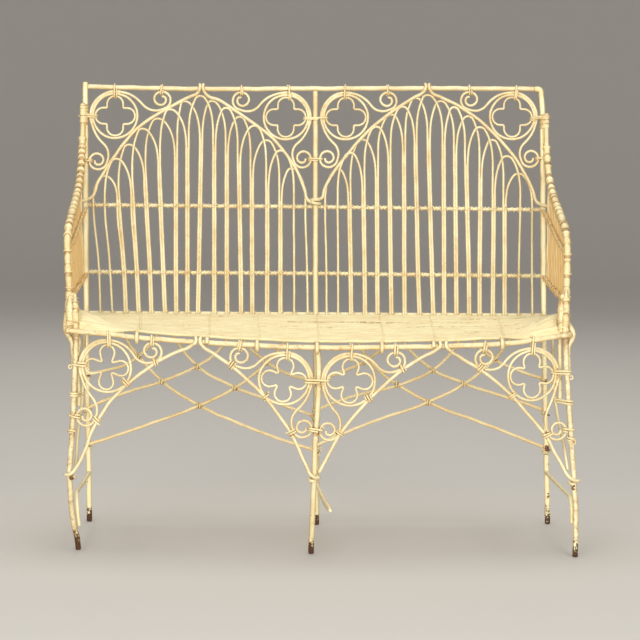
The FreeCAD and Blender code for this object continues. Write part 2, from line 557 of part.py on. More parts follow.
def seat_y(x, u): return SEAT_REAR_Y + u * (front_y(x, 430.0) + SEAT_INSET - SEAT_REAR_Y)
SEAT_RISE = [(0.0, 1.0), (0.25, 6.0), (0.5, 13.0), (0.7, 19.5), (0.84, 24.0), (0.92, 17.0), (1.0, 2.0)]   # how far the side edges stand up


def ease(t):
    t = max(0.0, min(1.0, t))
    return t * t * (3.0 - 2.0 * t)


def seat_z(x, u):
    flat = SEAT_REAR_Z + u * (along(FRONT_RAIL, max(-484.0, min(490.0, x))) + SEAT_LIFT - SEAT_REAR_Z)
    return flat + along(SEAT_RISE, max(0.0, min(1.0, u))) * ease((abs(x) - 392.0) / 92.0)


for j in range(SEAT_RODS):
    u = j / (SEAT_RODS - 1.0)
    e = 484.0 - 14.0 * ease((u - 0.8) / 0.2)     # the front rods stop at the corner legs
    xs = [-e, -463.0, -440.0, -416.0, -392.0, -290.0, -145.0, 0.0, 145.0, 290.0, 392.0, 416.0, 440.0, 463.0, e]
    rod("seat_rods", smooth([(x, seat_y(x, u), seat_z(x, u)) for x in xs]), SEAT_ROD_D)

def bearer_x(x, u):
    """The bearers spread a little from the front rail (u = 1) to the rear one (u = 0)."""
    return x * (1.0 + 0.055 * (1.0 - u))


for x in BEARER_X:
    zr = along(FRONT_RAIL, x)
    yr = front_y(x, zr)
    drop = BEARER_D / 2 + SEAT_ROD_D / 2
    h = FRONT_RAIL_D / 2 + BEARER_D / 2 + 0.3
    P = [(bearer_x(x, 0.0), 181.0 if abs(x) < 10.0 else 201.0, SEAT_REAR_Z - drop)]
    P += [(bearer_x(x, u), seat_y(bearer_x(x, u), u), seat_z(bearer_x(x, u), u) - drop) for u in (0.05, 0.5, 0.9, 0.985)]
    P += [(x, yr + 2.5, zr + h - 0.6), (x, yr - h, zr - 1.0)]
    if x not in (-218.0, 225.5):      # beside the rib ends there is no room for the full hook
        P.append((x, yr - 1.0, zr - h))
    rod("seat_bearers", smooth(P), BEARER_D)
    top = SEAT_ROD_D / 2 + WIRE_D / 2 + 0.1
    rod("seat_binding_wires", smooth([(bearer_x(x, u) + 5.0, seat_y(bearer_x(x, u), u), seat_z(bearer_x(x, u), u) + top) for u in (-0.01, 0.3, 0.7, 1.005)]), WIRE_D)

for name, s in (("left", -1.0), ("right", 1.0)):
    under = SEAT_ROD_D / 2 + SEAT_FRAME_D / 2 + 0.3
    edge = [(s * x, seat_y(s * x, u), seat_z(s * x, u) - under) for x, u in ((479.0, 0.07), (475.0, 0.3), (473.5, 0.55), (472.0, 0.8), (469.5, 0.9), (467.0, 0.965))]
    rod("%s_seat_rail" % name, smooth([(s * 484.5, 181.0, 439.5)] + edge), SEAT_FRAME_D)

# ---------------------------------------------------------------- arms and side panels
ARM_PROFILE = [(225.2, 893.0), (220.5, 840.0), (211.0, 798.0), (193.0, 766.0), (158.0, 737.0), (110.0, 714.0), (50.0, 694.5), (-25.0, 675.5),
               (-98.0, 656.0), (-150.0, 638.0), (-181.0, 611.0), (-190.0, 572.0), (-188.5, 520.0)]
ARM_X_L = [(484.0, -495.0), (520.0, -493.0), (560.0, -494.5), (600.0, -497.0), (640.0, -498.0), (700.0, -498.2), (800.0, -497.4), (900.0, -496.9)]
ARM_X_R = [(480.0, 493.0), (520.0, 492.5), (560.0, 493.0), (600.0, 493.5), (640.0, 494.5), (700.0, 493.5), (800.0, 491.0), (900.0, 489.5)]
# below the seat each arm swings out past the end of the front rail and comes down behind the leg
ARM_END_L = [(-495.0, -188.5, 484.0), (-497.6, -189.8, 462.0), (-500.0, -192.0, 445.0), (-497.0, -192.0, 428.0), (-490.2, -190.5, 413.0), (-487.2, -189.4, 397.0), (-487.0, -189.0, 366.0)]
ARM_END_R = [(493.0, -188.5, 480.0), (494.6, -189.0, 464.0), (501.0, -190.5, 453.5), (506.6, -192.5, 441.5), (504.0, -192.5, 428.5), (498.6, -191.0, 417.0), (497.6, -189.6, 400.0), (499.0, -189.2, 356.0)]
ARM_TAIL_L = [(-483.4, -184.8, 494.0), (-483.2, -184.8, 460.0), (-477.6, -184.6, 400.0), (-476.6, -186.0, 345.0), (-475.6, -187.0, 290.0)]
ARM_TAIL_R = [(481.6, -187.0, 494.0), (481.0, -187.0, 460.0), (481.4, -187.0, 400.0), (482.0, -187.0, 345.0), (482.4, -187.2, 301.0)]
ARM_PATH = {}
for name, tab, end, tail in (("left", ARM_X_L, ARM_END_L, ARM_TAIL_L), ("right", ARM_X_R, ARM_END_R, ARM_TAIL_R)):
    top = ARM_PROFILE if name == "left" else [(224.1, 879.5)] + ARM_PROFILE[1:]
    ARM_PATH[name] = smooth([(along(tab, z), y, z) for y, z in top] + end, None, DOWN)
    rod("%s_arm" % name, ARM_PATH[name], ARM_D)
    rod("%s_arm" % name, smooth(tail, None, DOWN), TAIL_D)


def arm_z(y):
    """Height of the arm above the side panel at depth y."""
    for (ya, za), (yb, zb) in zip(ARM_PROFILE, ARM_PROFILE[1:]):
        if ya >= y >= yb:
            return za + (zb - za) * (y - ya) / (yb - ya)
    return 611.0


def side_low(y): return 507.0 + (y + 190.0) / 390.0 * 26.0
def side_up(y): return 601.0 + (y + 190.0) / 395.0 * 71.0


SIDE_BARS = 12
SIDE_LOW_X = {"left": -486.6, "right": 484.6}
SIDE_UP_X = {"left": -490.0, "right": 485.6}
SIDE_RUN = {}


def run_x(run, y):
    """X of a side rail at depth y."""
    for (xa, ya), (xb, yb) in zip(run, run[1:]):
        if ya >= y >= yb:
            return xa + (xb - xa) * (y - ya) / (yb - ya)
    return run[-1][0]


for name, s, tab in (("left", -1, ARM_X_L), ("right", 1, ARM_X_R)):
    post = POST_L if s < 0 else POST_R
    xl, xu = SIDE_LOW_X[name], SIDE_UP_X[name]
    low = [(post_x(post, 533.0) - s * 1.0, post_y(post, 533.0) - POST_D / 2 - 0.3), (xl, 150.0), (xl, -20.0), (xl + s * 1.5, -140.0), (along(tab, 507.0) - s * 4.0, -181.6)]
    up = [(post_x(post, 672.0) - s * 1.0, post_y(post, 672.0) - POST_D / 2 - 0.3), (xu, 150.0), (xu, -20.0), (xu + s * 1.5, -140.0), (along(tab, 600.0) - s * 4.0, -176.5)]
    SIDE_RUN[name] = (low, up)
    rod("%s_lower_side_rail" % name, smooth([(x, y, side_low(y)) for x, y in low]), MID_RAIL_D)
    rod("%s_upper_side_rail" % name, smooth([(x, y, side_up(y)) for x, y in up]), MID_RAIL_D)
    for i in range(SIDE_BARS):
        y = 168.0 - 29.0 * i
        zl, zt = side_low(y) - 3.6, arm_z(y) - 8.8
        gap = s * (MID_RAIL_D / 2 + LANCET_D / 2 + 0.2)
        a, b = run_x(low, y) + gap, run_x(up, y) + gap
        rod("%s_side_bars" % name, smooth([(a, y, zl), (a, y, side_low(y) + 12.0), (b, y, side_up(y) - 12.0), (along(tab, zt) - s * 1.0, y, zt)]), LANCET_D)

BRACE_L = [(-470.5, -97.0, 451.5), (-471.0, -90.0, 402.0), (-473.5, -62.0, 354.0), (-476.5, -46.0, 308.0), (-477.4, -72.0, 276.0), (-478.0, -116.0, 253.0), (-478.6, -142.0, 232.0),
           (-479.2, -159.0, 205.0), (-480.4, -178.0, 169.0)]
BRACE_R = [(473.5, -92.0, 449.5), (478.0, -85.0, 415.0), (481.0, -63.0, 377.0), (484.0, -46.0, 338.0), (486.1, -48.0, 312.0), (488.5, -64.0, 281.0), (490.3, -96.0, 257.0), (492.4, -143.0, 231.0),
           (495.5, -178.0, 203.0), (499.5, -191.0, 168.0)]
rod("left_side_brace", smooth(BRACE_L), LATTICE_D)
rod("right_side_brace", smooth(BRACE_R), LATTICE_D)

# ---------------------------------------------------------------- lattice between the rear legs
LAT_N = 3.4
LATTICE = {"left": (LAT_LA, LAT_LB, LAT_LC, LAT_LD, LAT_LE, LAT_LF), "right": (LAT_RA, LAT_RB, LAT_RC, LAT_RD, LAT_RE, LAT_RF)}
LAT_END = POST_D / 2 + LATTICE_D / 2 + 0.3
for name, rods in LATTICE.items():
    for i, pts in enumerate(rods):
        f = 1.0 if i % 2 == 0 else -1.0
        (xa, za), (xb, zb) = pts[0], pts[-1]
        k = 1.0 if xb > xa else -1.0
        post = POST_L if xa < -400 else POST_R if xa > 400 else POST_C
        end = (post_x(post, za) - k * 2.0, post_y(post, za) - f * LAT_END, za - 1.0)
        P = [end] + [L3(x, z, f * LAT_N) for x, z in pts[1:]] + [L3(xb + k * 0.55 * (437.0 - zb), 437.0, f * LAT_N)]
        rod("%s_lattice" % name, smooth(P), LATTICE_D)

# ---------------------------------------------------------------- stretchers from rear to front legs
rod("left_stretcher", bent([(-473.6, 205.0, 106.0), (-477.0, -166.0, 113.0), (-470.5, -158.0, 46.0)], [26.0]), STRETCHER_D)
rod("right_stretcher", bent([(488.7, 204.0, 113.0), (502.8, -192.0, 112.5), (503.6, -206.0, 62.0)], [26.0]), STRETCHER_D)
rod("centre_stretcher", smooth([(-5.8, 176.0, 111.0), (3.0, 60.0, 103.0), (17.0, -95.0, 90.0), (27.0, -198.0, 85.0)]), STRETCHER_D)

# ---------------------------------------------------------------- ties of soft wire
def bundle(node, lo, hi, across, half, d=WIRE_D):
    """Loop of wire round a bundle that reaches from lo to hi; half is the bundle's half width along across."""
    u = unit(sub(hi, lo))
    v = unit(sub(across, mul(u, dot(u, across))))
    tie(node, lerp(lo, hi, 0.5), u, v, norm(sub(hi, lo)) / 2 + 0.15, half + 0.15, d)


# top rail with the scrolls and rings that hang from it
for i, (ring_x, vol_x) in enumerate(((-428.8, -330.1), (-58.2, -159.8), (61.0, 152.0), (426.0, 327.3))):
    zt = along(TOP_RAIL, ring_x) + TOP_RAIL_D / 2
    c = BACK_RINGS[i]
    zl = c[1] + math.sqrt(BACK_RING_R ** 2 - (ring_x - c[0]) ** 2) - RING_D / 2 - FOIL_D
    bundle("top_rail_ties", B(ring_x, zl, 1.5), B(ring_x, zt, 0.0), Y1, TOP_RAIL_D / 2)
    zt = along(TOP_RAIL, vol_x) + TOP_RAIL_D / 2
    zl = BACK_VOL_RAIL[i][1] + RAIL_SPIRAL[2] - RING_D / 2 - 1.0
    bundle("top_rail_ties", B(vol_x, zl, 1.5), B(vol_x, zt, 0.0), Y1, TOP_RAIL_D / 2)

# rear posts with the rings and scrolls beside them
for post, s, ring_i, z_ring, z_vol in ((POST_L, -1, 0, 867.0, 772.0), (POST_R, 1, 3, 869.5, 784.0)):
    for z, xin in ((z_ring, BACK_RINGS[ring_i][0] + s * (BACK_RING_R - RING_D / 2 - FOIL_D)), (z_vol, BACK_VOL_POST[ring_i][0] + s * (POST_SPIRAL[2] - RING_D / 2 - 1.0))):
        px = post_x(post, z) + s * (POST_D / 2 + (7.0 if z > 800 else 0.0))
        bundle("back_post_ties", B(xin, z, 1.5), B(px, z, 0.0), Y1, POST_D / 2)
for z, a, b in ((866.0, BACK_RINGS[1][0] + BACK_RING_R - RING_D / 2 - FOIL_D, BACK_RINGS[2][0] - BACK_RING_R + RING_D / 2 + FOIL_D),
                (779.0, BACK_VOL_POST[1][0] + POST_SPIRAL[2] - RING_D / 2 - 1.0, BACK_VOL_POST[2][0] - POST_SPIRAL[2] + RING_D / 2 + 1.0)):
    bundle("back_post_ties", B(a, z, 1.5), B(b, z, 1.5), Y1, POST_D / 2 + 0.8)

# lancet rods on the two rails of the back and on the rear rail of the seat
DIAG = (1.0, 0.0, 1.0)
for U, W, S in ((BARS_L_U, BARS_L_W, BARS_L_S), (BARS_R_U, BARS_R_W, BARS_R_S)):
    for i in range(17):
        pair = 2 <= i <= 14
        half = (LANCET_D / 2 + (LANCET_PAIR if pair else 0.0) + MID_RAIL_D / 2) / math.sqrt(2)
        layer = 0.0 if i % 2 == 0 else LANCET_LAYER
        for x, z in ((U[i], rail_z(UPPER_Z, U[i])), (W[i], rail_z(LOWER_Z, W[i]))):
            bundle("back_rail_ties", B(x, z, -6.1 - MID_RAIL_D / 2), B(x, z, layer + LANCET_D / 2), DIAG, half)
        bundle("seat_rail_ties", (S[i], 197.3 + SEAT_FRAME_D / 2, 449.4), (S[i], 189.5 - layer - LANCET_D / 2, 449.4), DIAG, half + 0.7)

# front rail with the scrolls and rings that hang from it
for i, (ring_x, vol_x) in enumerate(((-412.8, -326.3), (-60.0, -153.5), (64.5, 150.9), (424.0, 327.5))):
    c = APRON_RINGS[i]
    zt = along(FRONT_RAIL, ring_x) + FRONT_RAIL_D / 2
    zl = c[1] + math.sqrt(APRON_RING_R ** 2 - (ring_x - c[0]) ** 2) - RING_D / 2 - FOIL_D
    bundle("front_rail_ties", A(ring_x, zl), A(ring_x, zt), Y1, FRONT_RAIL_D / 2)
    zt = along(FRONT_RAIL, vol_x) + FRONT_RAIL_D / 2
    zl = APRON_VOL_RAIL[i][1] + RAIL_SPIRAL[2] - RING_D / 2 - 1.0
    bundle("front_rail_ties", A(vol_x, zl), A(vol_x, zt), Y1, FRONT_RAIL_D / 2)

# scrolls, ribs and rings of the apron
RIBS_A = {0: APRON_RIB_1, 1: APRON_RIB_2, 2: APRON_RIB_3, 3: APRON_RIB_4}
for j, (x, z) in enumerate(APRON_RIB_TIES):
    rib = RIBS_A[j // 3]
    k = min(range(len(rib) - 1), key=lambda i: math.hypot((rib[i][0] + rib[i + 1][0]) / 2 - x, (rib[i][1] + rib[i + 1][1]) / 2 - z))
    dx, dz = rib[k + 1][0] - rib[k][0], rib[k + 1][1] - rib[k][1]
    L = math.hypot(dx, dz)
    ux, uz = -dz / L, dx / L
    if uz < 0:
        ux, uz = -ux, -uz
    bundle("apron_rib_ties", A(x - ux * 3.6, z - uz * 3.6), A(x + ux * 8.6, z + uz * 8.6), Y1, RIB_D / 2)

# front legs with the arm ends, rings and scrolls
for leg, tab, tail, z_arm, z_tail in ((LEG_L, ARM_X_L, ARM_TAIL_L, 503.0, 316.0), (LEG_R, ARM_X_R, ARM_TAIL_R, 506.0, 305.3)):
    for p, q, r in ((near(leg, z_arm), (along(tab, z_arm), -188.5, z_arm), ARM_D / 2), (near(leg, z_tail), near(tail, z_tail), TAIL_D / 2)):
        u = unit(sub(q, p))
        bundle("leg_ties", sub(p, mul(u, LEG_D / 2)), add(q, mul(u, r)), X1, LEG_D / 2)
for i, leg, z_ring, z_end in ((0, LEG_L, 375.7, 242.4), (3, LEG_R, 365.1, 232.2)):
    s = -1 if i == 0 else 1
    p = near(leg, z_ring)
    q = A(APRON_RINGS[i][0] + s * (APRON_RING_R - RING_D / 2 - FOIL_D), z_ring)
    u = unit(sub(p, q))
    bundle("leg_ties", q, add(p, mul(u, LEG_D / 2)), Y1, LEG_D / 2)
    z = APRON_VOL_POST[i][1]
    p = near(leg, z)
    q = A(APRON_VOL_POST[i][0] + s * (POST_SPIRAL[2] - RING_D / 2 - 1.0), z)
    u = unit(sub(p, q))
    bundle("leg_ties", q, add(p, mul(u, LEG_D / 2)), Y1, LEG_D / 2)
    p = near(leg, z_end)
    bundle("leg_ties", sub(p, mul(X1, LEG_D / 2)), add(p, mul(X1, LEG_D / 2)), Y1, LEG_D / 2)
for a, b in ((APRON_RINGS[1][0] + APRON_RING_R - RING_D / 2 - FOIL_D, APRON_RINGS[2][0] - APRON_RING_R + RING_D / 2 + FOIL_D),):
    bundle("leg_ties", A(a, 352.0), A(b, 352.0), Y1, LEG_D / 2 + 0.5)
bundle("leg_ties", A(APRON_VOL_POST[1][0] + 12.9, 254.0), A(APRON_VOL_POST[2][0] - 12.9, 254.0), Y1, LEG_D / 2 + 0.5)

# lattice crossings, and its ends on the rear legs
for x, z in LAT_TIES:
    bundle("lattice_ties", L3(x, z, -LAT_N - LATTICE_D / 2), L3(x, z, LAT_N + LATTICE_D / 2), Z1, LATTICE_D / 2 + 0.8)

# lashing along the arms
LASH_PITCH = 28.0
for name in ("left", "right"):
    L = path_length(ARM_PATH[name])
    for j in range(int((L - 60.0) / LASH_PITCH)):
        P, t = at(ARM_PATH[name], 22.0 + j * LASH_PITCH)
        if P[2] < 545.0:
            continue
        rod("arm_lashings", hoop(P, t, ARM_D / 2 + WIRE_D / 2 + 0.1), WIRE_D, True)

# side bars on the side rails
for name, s, tab in (("left", -1, ARM_X_L), ("right", 1, ARM_X_R)):
    for i in range(SIDE_BARS):
        y = 168.0 - 29.0 * i
        for z, xr in ((side_low(y), run_x(SIDE_RUN[name][0], y)), (side_up(y), run_x(SIDE_RUN[name][1], y))):
            bundle("side_rail_ties", (xr - s * MID_RAIL_D / 2, y, z), (xr + s * 8.6, y, z), (0.0, 1.0, 1.0), 4.4)


# ---------------------------------------------------------------- solids
SHIFT = (-8.3, 17.2, 0.0)     # puts the middle of the whole on X = Y = 0


def V(p): return FreeCAD.Vector(p[0] + SHIFT[0], p[1] + SHIFT[1], p[2] + SHIFT[2])
def D(p): return FreeCAD.Vector(p[0], p[1], p[2])


def tube(path, r, closed):
    """Round rod along a path of straight runs and tangent arcs."""
    p, t = path[0][1], start_dir(path)
    ref = unit(cross(t, (0.0, 0.0, 1.0) if abs(t[2]) < 0.9 else (1.0, 0.0, 0.0)))
    c = Part.Circle(V(p), D(t), r)
    edge = c.toShape()
    faces = []
    if not closed:
        cap = Part.Face(Part.Wire([edge]))
        cap.reverse()
        faces.append(cap)
    for i, s in enumerate(path):
        q = s[-1]
        seg = arc_from(p, t, q)
        if seg[0] == "A":
            ctr, ax, ang = arc_circle(seg)
            if ang < 2e-4:
                seg = ("L", p, q)
        if seg[0] == "L":
            L = dot(sub(q, p), t)
            faces.append(edge.extrude(D(mul(t, L))))
            p = add(p, mul(t, L))
            nxt = edge.copy()
            nxt.translate(D(mul(t, L)))
        else:
            faces.append(edge.revolve(V(ctr), D(ax), math.degrees(ang)))
            nxt = edge.copy()
            nxt.rotate(V(ctr), D(ax), math.degrees(ang))
            t = unit(rot(t, ax, ang))
            p = q
        edge = nxt
    if not closed:
        faces.append(Part.Face(Part.Wire([edge])))
    shell = Part.Shell(faces)
    shell.sewShape()
    if shell.ShapeType != "Shell":
        shell = shell.Shells[0]
    solid = Part.Solid(shell)
    if solid.Volume < 0:
        solid.reverse()
    return solid


os.makedirs("parts", exist_ok=True)
for node, rods in PARTS.items():
    solids = []
    for path, r, closed in rods:
        s = tube(path, r, closed)
        want = math.pi * r * r * path_length(path)
        if not s.isValid() or abs(s.Volume - want) > 0.01 * want:
            print("check", node, len(solids), s.isValid(), round(s.Volume), round(want))
        solids.append(s)
    shape = solids[0] if len(solids) == 1 else Part.makeCompound(solids)
    shape.exportStep("parts/%s.step" % node)
    b = shape.BoundBox
    print("%-26s %3d  x %.1f %.1f  y %.1f %.1f  z %.1f %.1f" % (node, len(solids), b.XMin, b.XMax, b.YMin, b.YMax, b.ZMin, b.ZMax))
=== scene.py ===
import bpy
import json
import math
import numpy as np
from mathutils import Matrix, Vector

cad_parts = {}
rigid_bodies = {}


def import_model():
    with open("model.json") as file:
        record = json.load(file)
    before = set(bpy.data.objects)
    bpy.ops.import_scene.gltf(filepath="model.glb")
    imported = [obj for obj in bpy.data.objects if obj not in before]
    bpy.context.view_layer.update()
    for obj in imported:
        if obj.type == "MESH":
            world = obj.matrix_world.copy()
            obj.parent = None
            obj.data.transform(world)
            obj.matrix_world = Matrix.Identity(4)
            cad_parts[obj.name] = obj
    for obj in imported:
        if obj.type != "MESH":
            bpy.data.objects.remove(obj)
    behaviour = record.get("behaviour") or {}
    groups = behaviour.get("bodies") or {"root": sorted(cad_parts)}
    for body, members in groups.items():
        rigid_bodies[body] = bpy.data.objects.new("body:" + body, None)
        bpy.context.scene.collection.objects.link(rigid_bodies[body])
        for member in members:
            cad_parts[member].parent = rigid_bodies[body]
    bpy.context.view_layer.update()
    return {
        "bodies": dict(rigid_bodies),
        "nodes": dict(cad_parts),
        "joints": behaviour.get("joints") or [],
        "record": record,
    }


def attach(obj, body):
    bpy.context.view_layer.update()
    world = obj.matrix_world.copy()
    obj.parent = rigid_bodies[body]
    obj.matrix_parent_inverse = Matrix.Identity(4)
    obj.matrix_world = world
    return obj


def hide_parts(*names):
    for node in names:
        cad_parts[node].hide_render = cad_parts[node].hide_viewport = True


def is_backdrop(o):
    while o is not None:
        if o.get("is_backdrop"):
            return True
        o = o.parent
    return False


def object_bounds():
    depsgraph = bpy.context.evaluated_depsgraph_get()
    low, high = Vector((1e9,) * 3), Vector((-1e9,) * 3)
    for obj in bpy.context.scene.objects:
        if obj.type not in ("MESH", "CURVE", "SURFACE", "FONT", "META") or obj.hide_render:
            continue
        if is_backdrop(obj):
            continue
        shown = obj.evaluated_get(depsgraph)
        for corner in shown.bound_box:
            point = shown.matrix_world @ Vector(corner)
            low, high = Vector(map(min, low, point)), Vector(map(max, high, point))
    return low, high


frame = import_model()

# ---------------------------------------------------------------- driving dimensions (mm)
POST_D = 11.5          # rear posts and rear legs, round iron rod
LEG_D = 11.0           # front legs
TOP_RAIL_D = 9.8
FRONT_RAIL_D = 10.3
ARM_D = 10.8
TAIL_D = 9.0           # second rod that stiffens the front end of each arm
SEAT_FRAME_D = 9.0     # side and rear rails of the seat frame
BEARER_D = 8.0         # seven bearers under the seat
MID_RAIL_D = 7.0       # two rails across the back, two along each side
RIB_D = 7.1            # ribs of the pointed arches
LANCET_D = 5.0         # interlaced hairpin rods of the back
RING_D = 5.4           # rings and scrolls
FOIL_D = 4.6           # quatrefoils
LATTICE_D = 6.7
STRETCHER_D = 8.0
SEAT_ROD_D = 6.0
WIRE_D = 2.5           # soft binding wire

SEAT_BACK_Y = 190.0    # line of the rear posts at seat height
SEAT_BACK_Z = 454.0
RAKE = 0.105           # lean of the back, run over rise
BACK_LEG_SPLAY = 0.03
FRONT_Y = -200.0       # line of the front corners
BOW_FLOOR = 15.0       # forward bow of the front at floor level
BOW_SEAT = 75.0        # forward bow of the front at z = 430
HALF_W = 500.0

BACK_RING_R = 47.3
APRON_RING_R = 49.4
SEAT_RODS = 31
SEAT_REAR_Y = 176.0    # first seat rod
SEAT_REAR_Z = 447.0
UPPER_Z = (678.1, 677.0, 673.7)   # upper back rail: left, middle, right
LOWER_Z = (536.2, 535.6, 532.8)   # lower back rail

BARS_L_U = [-472.8, -448.1, -419.7, -389.5, -361.0, -330.5, -298.2, -273.5, -246.9, -216.5, -189.9, -162.6, -136.6, -103.6, -75.7, -47.1, -22.4]
BARS_L_W = [-460.4, -436.4, -407.3, -379.9, -352.3, -323.8, -297.2, -272.5, -248.5, -215.5, -188.9, -159.4, -135.1, -102.8, -74.9, -45.7, -18.0]
BARS_L_S = [-457.0, -431.3, -402.8, -375.4, -348.7, -319.3, -295.8, -272.0, -249.8, -215.0, -187.3, -158.0, -134.2, -102.9, -74.4, -45.2, -16.3]
BARS_R_U = [19.8, 46.4, 71.8, 101.7, 130.2, 157.6, 188.1, 214.7, 243.8, 272.4, 297.8, 322.5, 350.5, 378.7, 402.6, 435.1, 461.2]
BARS_R_W = [23.1, 47.8, 74.8, 104.3, 131.5, 160.1, 189.1, 218.3, 248.2, 273.5, 299.6, 326.2, 349.7, 378.1, 403.1, 433.0, 461.6]
BARS_R_S = [23.9, 48.2, 76.1, 105.3, 132.3, 161.8, 190.1, 221.8, 251.1, 273.9, 300.5, 327.2, 350.0, 377.5, 403.3, 432.8, 462.5]
APEX_L = [(-449.5, 739.8), (-425.9, 776.5), (-400.0, 806.8), (-370.7, 840.8), (-338.7, 862.7), (-312.6, 882.3), (-281.7, 900.3), (-248.1, 911.4), (-223.3, 900.8), (-192.9, 886.1), (-163.4, 867.8), (-131.5, 848.7), (-105.9, 818.0), (-76.6, 796.5), (-52.7, 758.4)]
APEX_R = [(47.1, 757.4), (72.5, 792.2), (98.4, 820.9), (128.2, 848.3), (160.7, 874.5), (183.9, 891.3), (212.5, 910.5), (236.0, 916.8), (264.7, 903.8), (293.4, 891.0), (324.2, 872.3), (348.7, 849.0), (375.9, 822.0), (406.6, 787.7), (431.7, 750.8)]
RIB_1 = [(-481.5, 691.5), (-474.6, 697.4), (-470.3, 707.0), (-466.4, 720.5), (-448.1, 752.8), (-428.8, 782.8), (-407.9, 812.5), (-384.7, 838.0), (-347.9, 866.1), (-308.0, 889.5), (-272.1, 908.8), (-252.6, 919.2)]
RIB_2 = [(-238.6, 919.4), (-200.7, 898.8), (-166.0, 875.6), (-130.9, 851.8), (-98.3, 827.2), (-63.8, 788.1), (-38.6, 748.9), (-26.1, 719.3), (-15.2, 689.6)]
RIB_3 = [(10.7, 694.9), (18.1, 715.3), (31.0, 740.7), (62.9, 784.7), (85.6, 812.3), (112.2, 841.0), (146.4, 869.3), (176.9, 891.7), (207.4, 910.2), (227.4, 922.7)]
RIB_4 = [(245.6, 922.4), (268.3, 911.3), (306.6, 892.0), (345.0, 865.6), (383.1, 831.8), (417.7, 792.4), (444.5, 752.2), (461.5, 717.4), (474.4, 688.1)]
BACK_RINGS = [(-428.8, 867.6), (-65.1, 867.2), (62.7, 868.1), (417.7, 871.0)]
BACK_VOL_RAIL = [(-330.1, 904.5), (-159.8, 903.8), (152.0, 905.8), (327.3, 908.1)]
BACK_VOL_POST = [(-465.9, 772.8), (-28.1, 780.0), (24.4, 780.8), (457.5, 784.4)]
APRON_RIB_1 = [(-480.4, 165.3), (-472.2, 178.7), (-458.7, 209.0), (-445.1, 245.7), (-432.2, 269.0), (-412.2, 300.2), (-390.6, 324.3), (-354.4, 356.4), (-319.8, 382.0), (-280.9, 403.2), (-246.5, 419.5)]
APRON_RIB_2 = [(-224.9, 416.5), (-204.3, 402.2), (-173.3, 381.2), (-139.1, 352.4), (-104.9, 318.3), (-80.0, 286.2), (-58.0, 254.7), (-40.7, 223.2), (-26.6, 189.1), (-16.6, 165.9)]
APRON_RIB_3 = [(4.7, 164.2), (11.1, 182.6), (25.0, 210.7), (46.1, 248.4), (71.8, 281.6), (96.1, 309.9), (121.3, 334.6), (144.6, 356.8), (169.7, 376.6), (197.2, 394.6), (232.4, 414.7)]
APRON_RIB_4 = [(257.2, 411.7), (278.3, 397.3), (317.1, 374.2), (347.3, 351.8), (380.8, 321.4), (404.6, 295.7), (431.2, 265.9), (455.7, 235.5), (474.5, 200.0), (496.2, 156.6)]
APRON_RINGS = [(-416.5, 371.4), (-67.0, 352.6), (62.2, 351.0), (423.1, 359.3)]
APRON_VOL_RAIL = [(-326.3, 406.1), (-153.5, 399.0), (150.9, 392.8), (327.5, 396.6)]
APRON_VOL_POST = [(-460.0, 273.3), (-28.7, 256.5), (20.7, 251.6), (477.4, 249.8)]
APRON_RIB_TIES = [(-319.1, 382.6), (-376.7, 338.4), (-434.0, 266.0), (-171.7, 379.7), (-104.1, 317.3), (-52.4, 245.7), (166.4, 374.0), (100.7, 314.9), (44.5, 244.8), (317.5, 374.0), (383.3, 319.2), (452.4, 239.6)]
LAT_LA = [(-481.0, 168.2), (-362.1, 208.7), (-247.0, 252.6), (-170.9, 290.4), (-134.2, 317.5), (-104.5, 344.5), (-85.4, 363.9)]
LAT_LB = [(-11.5, 157.6), (-127.2, 200.2), (-247.0, 252.6), (-326.8, 304.0), (-362.2, 342.0), (-397.1, 385.7)]
LAT_LC = [(-477.2, 245.7), (-410.5, 277.3), (-326.8, 304.0), (-252.7, 336.6), (-216.6, 360.1), (-196.2, 382.5)]
LAT_LD = [(-12.0, 231.0), (-108.3, 268.1), (-172.5, 292.5), (-247.2, 334.0), (-274.9, 361.7), (-290.7, 382.9)]
LAT_LE = [(-482.7, 320.9), (-438.8, 328.5), (-404.8, 339.4), (-375.0, 358.0), (-351.6, 381.7)]
LAT_LF = [(-14.7, 310.6), (-78.8, 330.7), (-107.7, 349.8), (-136.6, 374.3)]
LAT_RA = [(11.3, 170.7), (118.6, 217.6), (242.2, 262.5), (318.0, 301.7), (354.7, 328.7), (385.7, 357.9), (398.9, 375.2)]
LAT_RB = [(495.1, 163.4), (369.1, 214.0), (244.3, 261.4), (174.6, 300.9), (144.7, 322.2), (119.5, 347.9)]
LAT_RC = [(10.8, 246.8), (79.6, 273.5), (197.6, 305.3), (249.9, 330.3), (275.3, 351.9), (289.0, 368.1)]
LAT_RD = [(493.8, 244.4), (425.9, 268.2), (316.5, 303.8), (254.0, 330.6), (224.0, 352.7), (203.9, 372.6)]
LAT_RE = [(12.0, 310.7), (68.4, 331.3), (102.4, 348.8), (137.2, 372.6)]
LAT_RF = [(490.9, 313.4), (419.5, 337.7), (379.9, 356.8), (355.3, 376.0)]
LAT_TIES = [(-247.0, 252.6), (-326.8, 304.0), (-171.0, 291.0), (-250.8, 335.3), (-375.0, 358.0), (-106.6, 347.0), (242.8, 262.1), (174.6, 300.9), (317.6, 301.9), (251.4, 331.4), (383.2, 355.1), (102.4, 348.8)]
FRONT_RAIL = [(-485.2, 441.7), (-413.7, 436.7), (-334.2, 430.3), (-251.4, 425.8), (-153.4, 421.6), (-65.5, 418.0), (22.3, 416.8), (120.1, 417.8), (208.6, 418.8), (297.8, 420.6), (380.6, 424.4), (434.7, 430.2), (491.3, 438.4)]

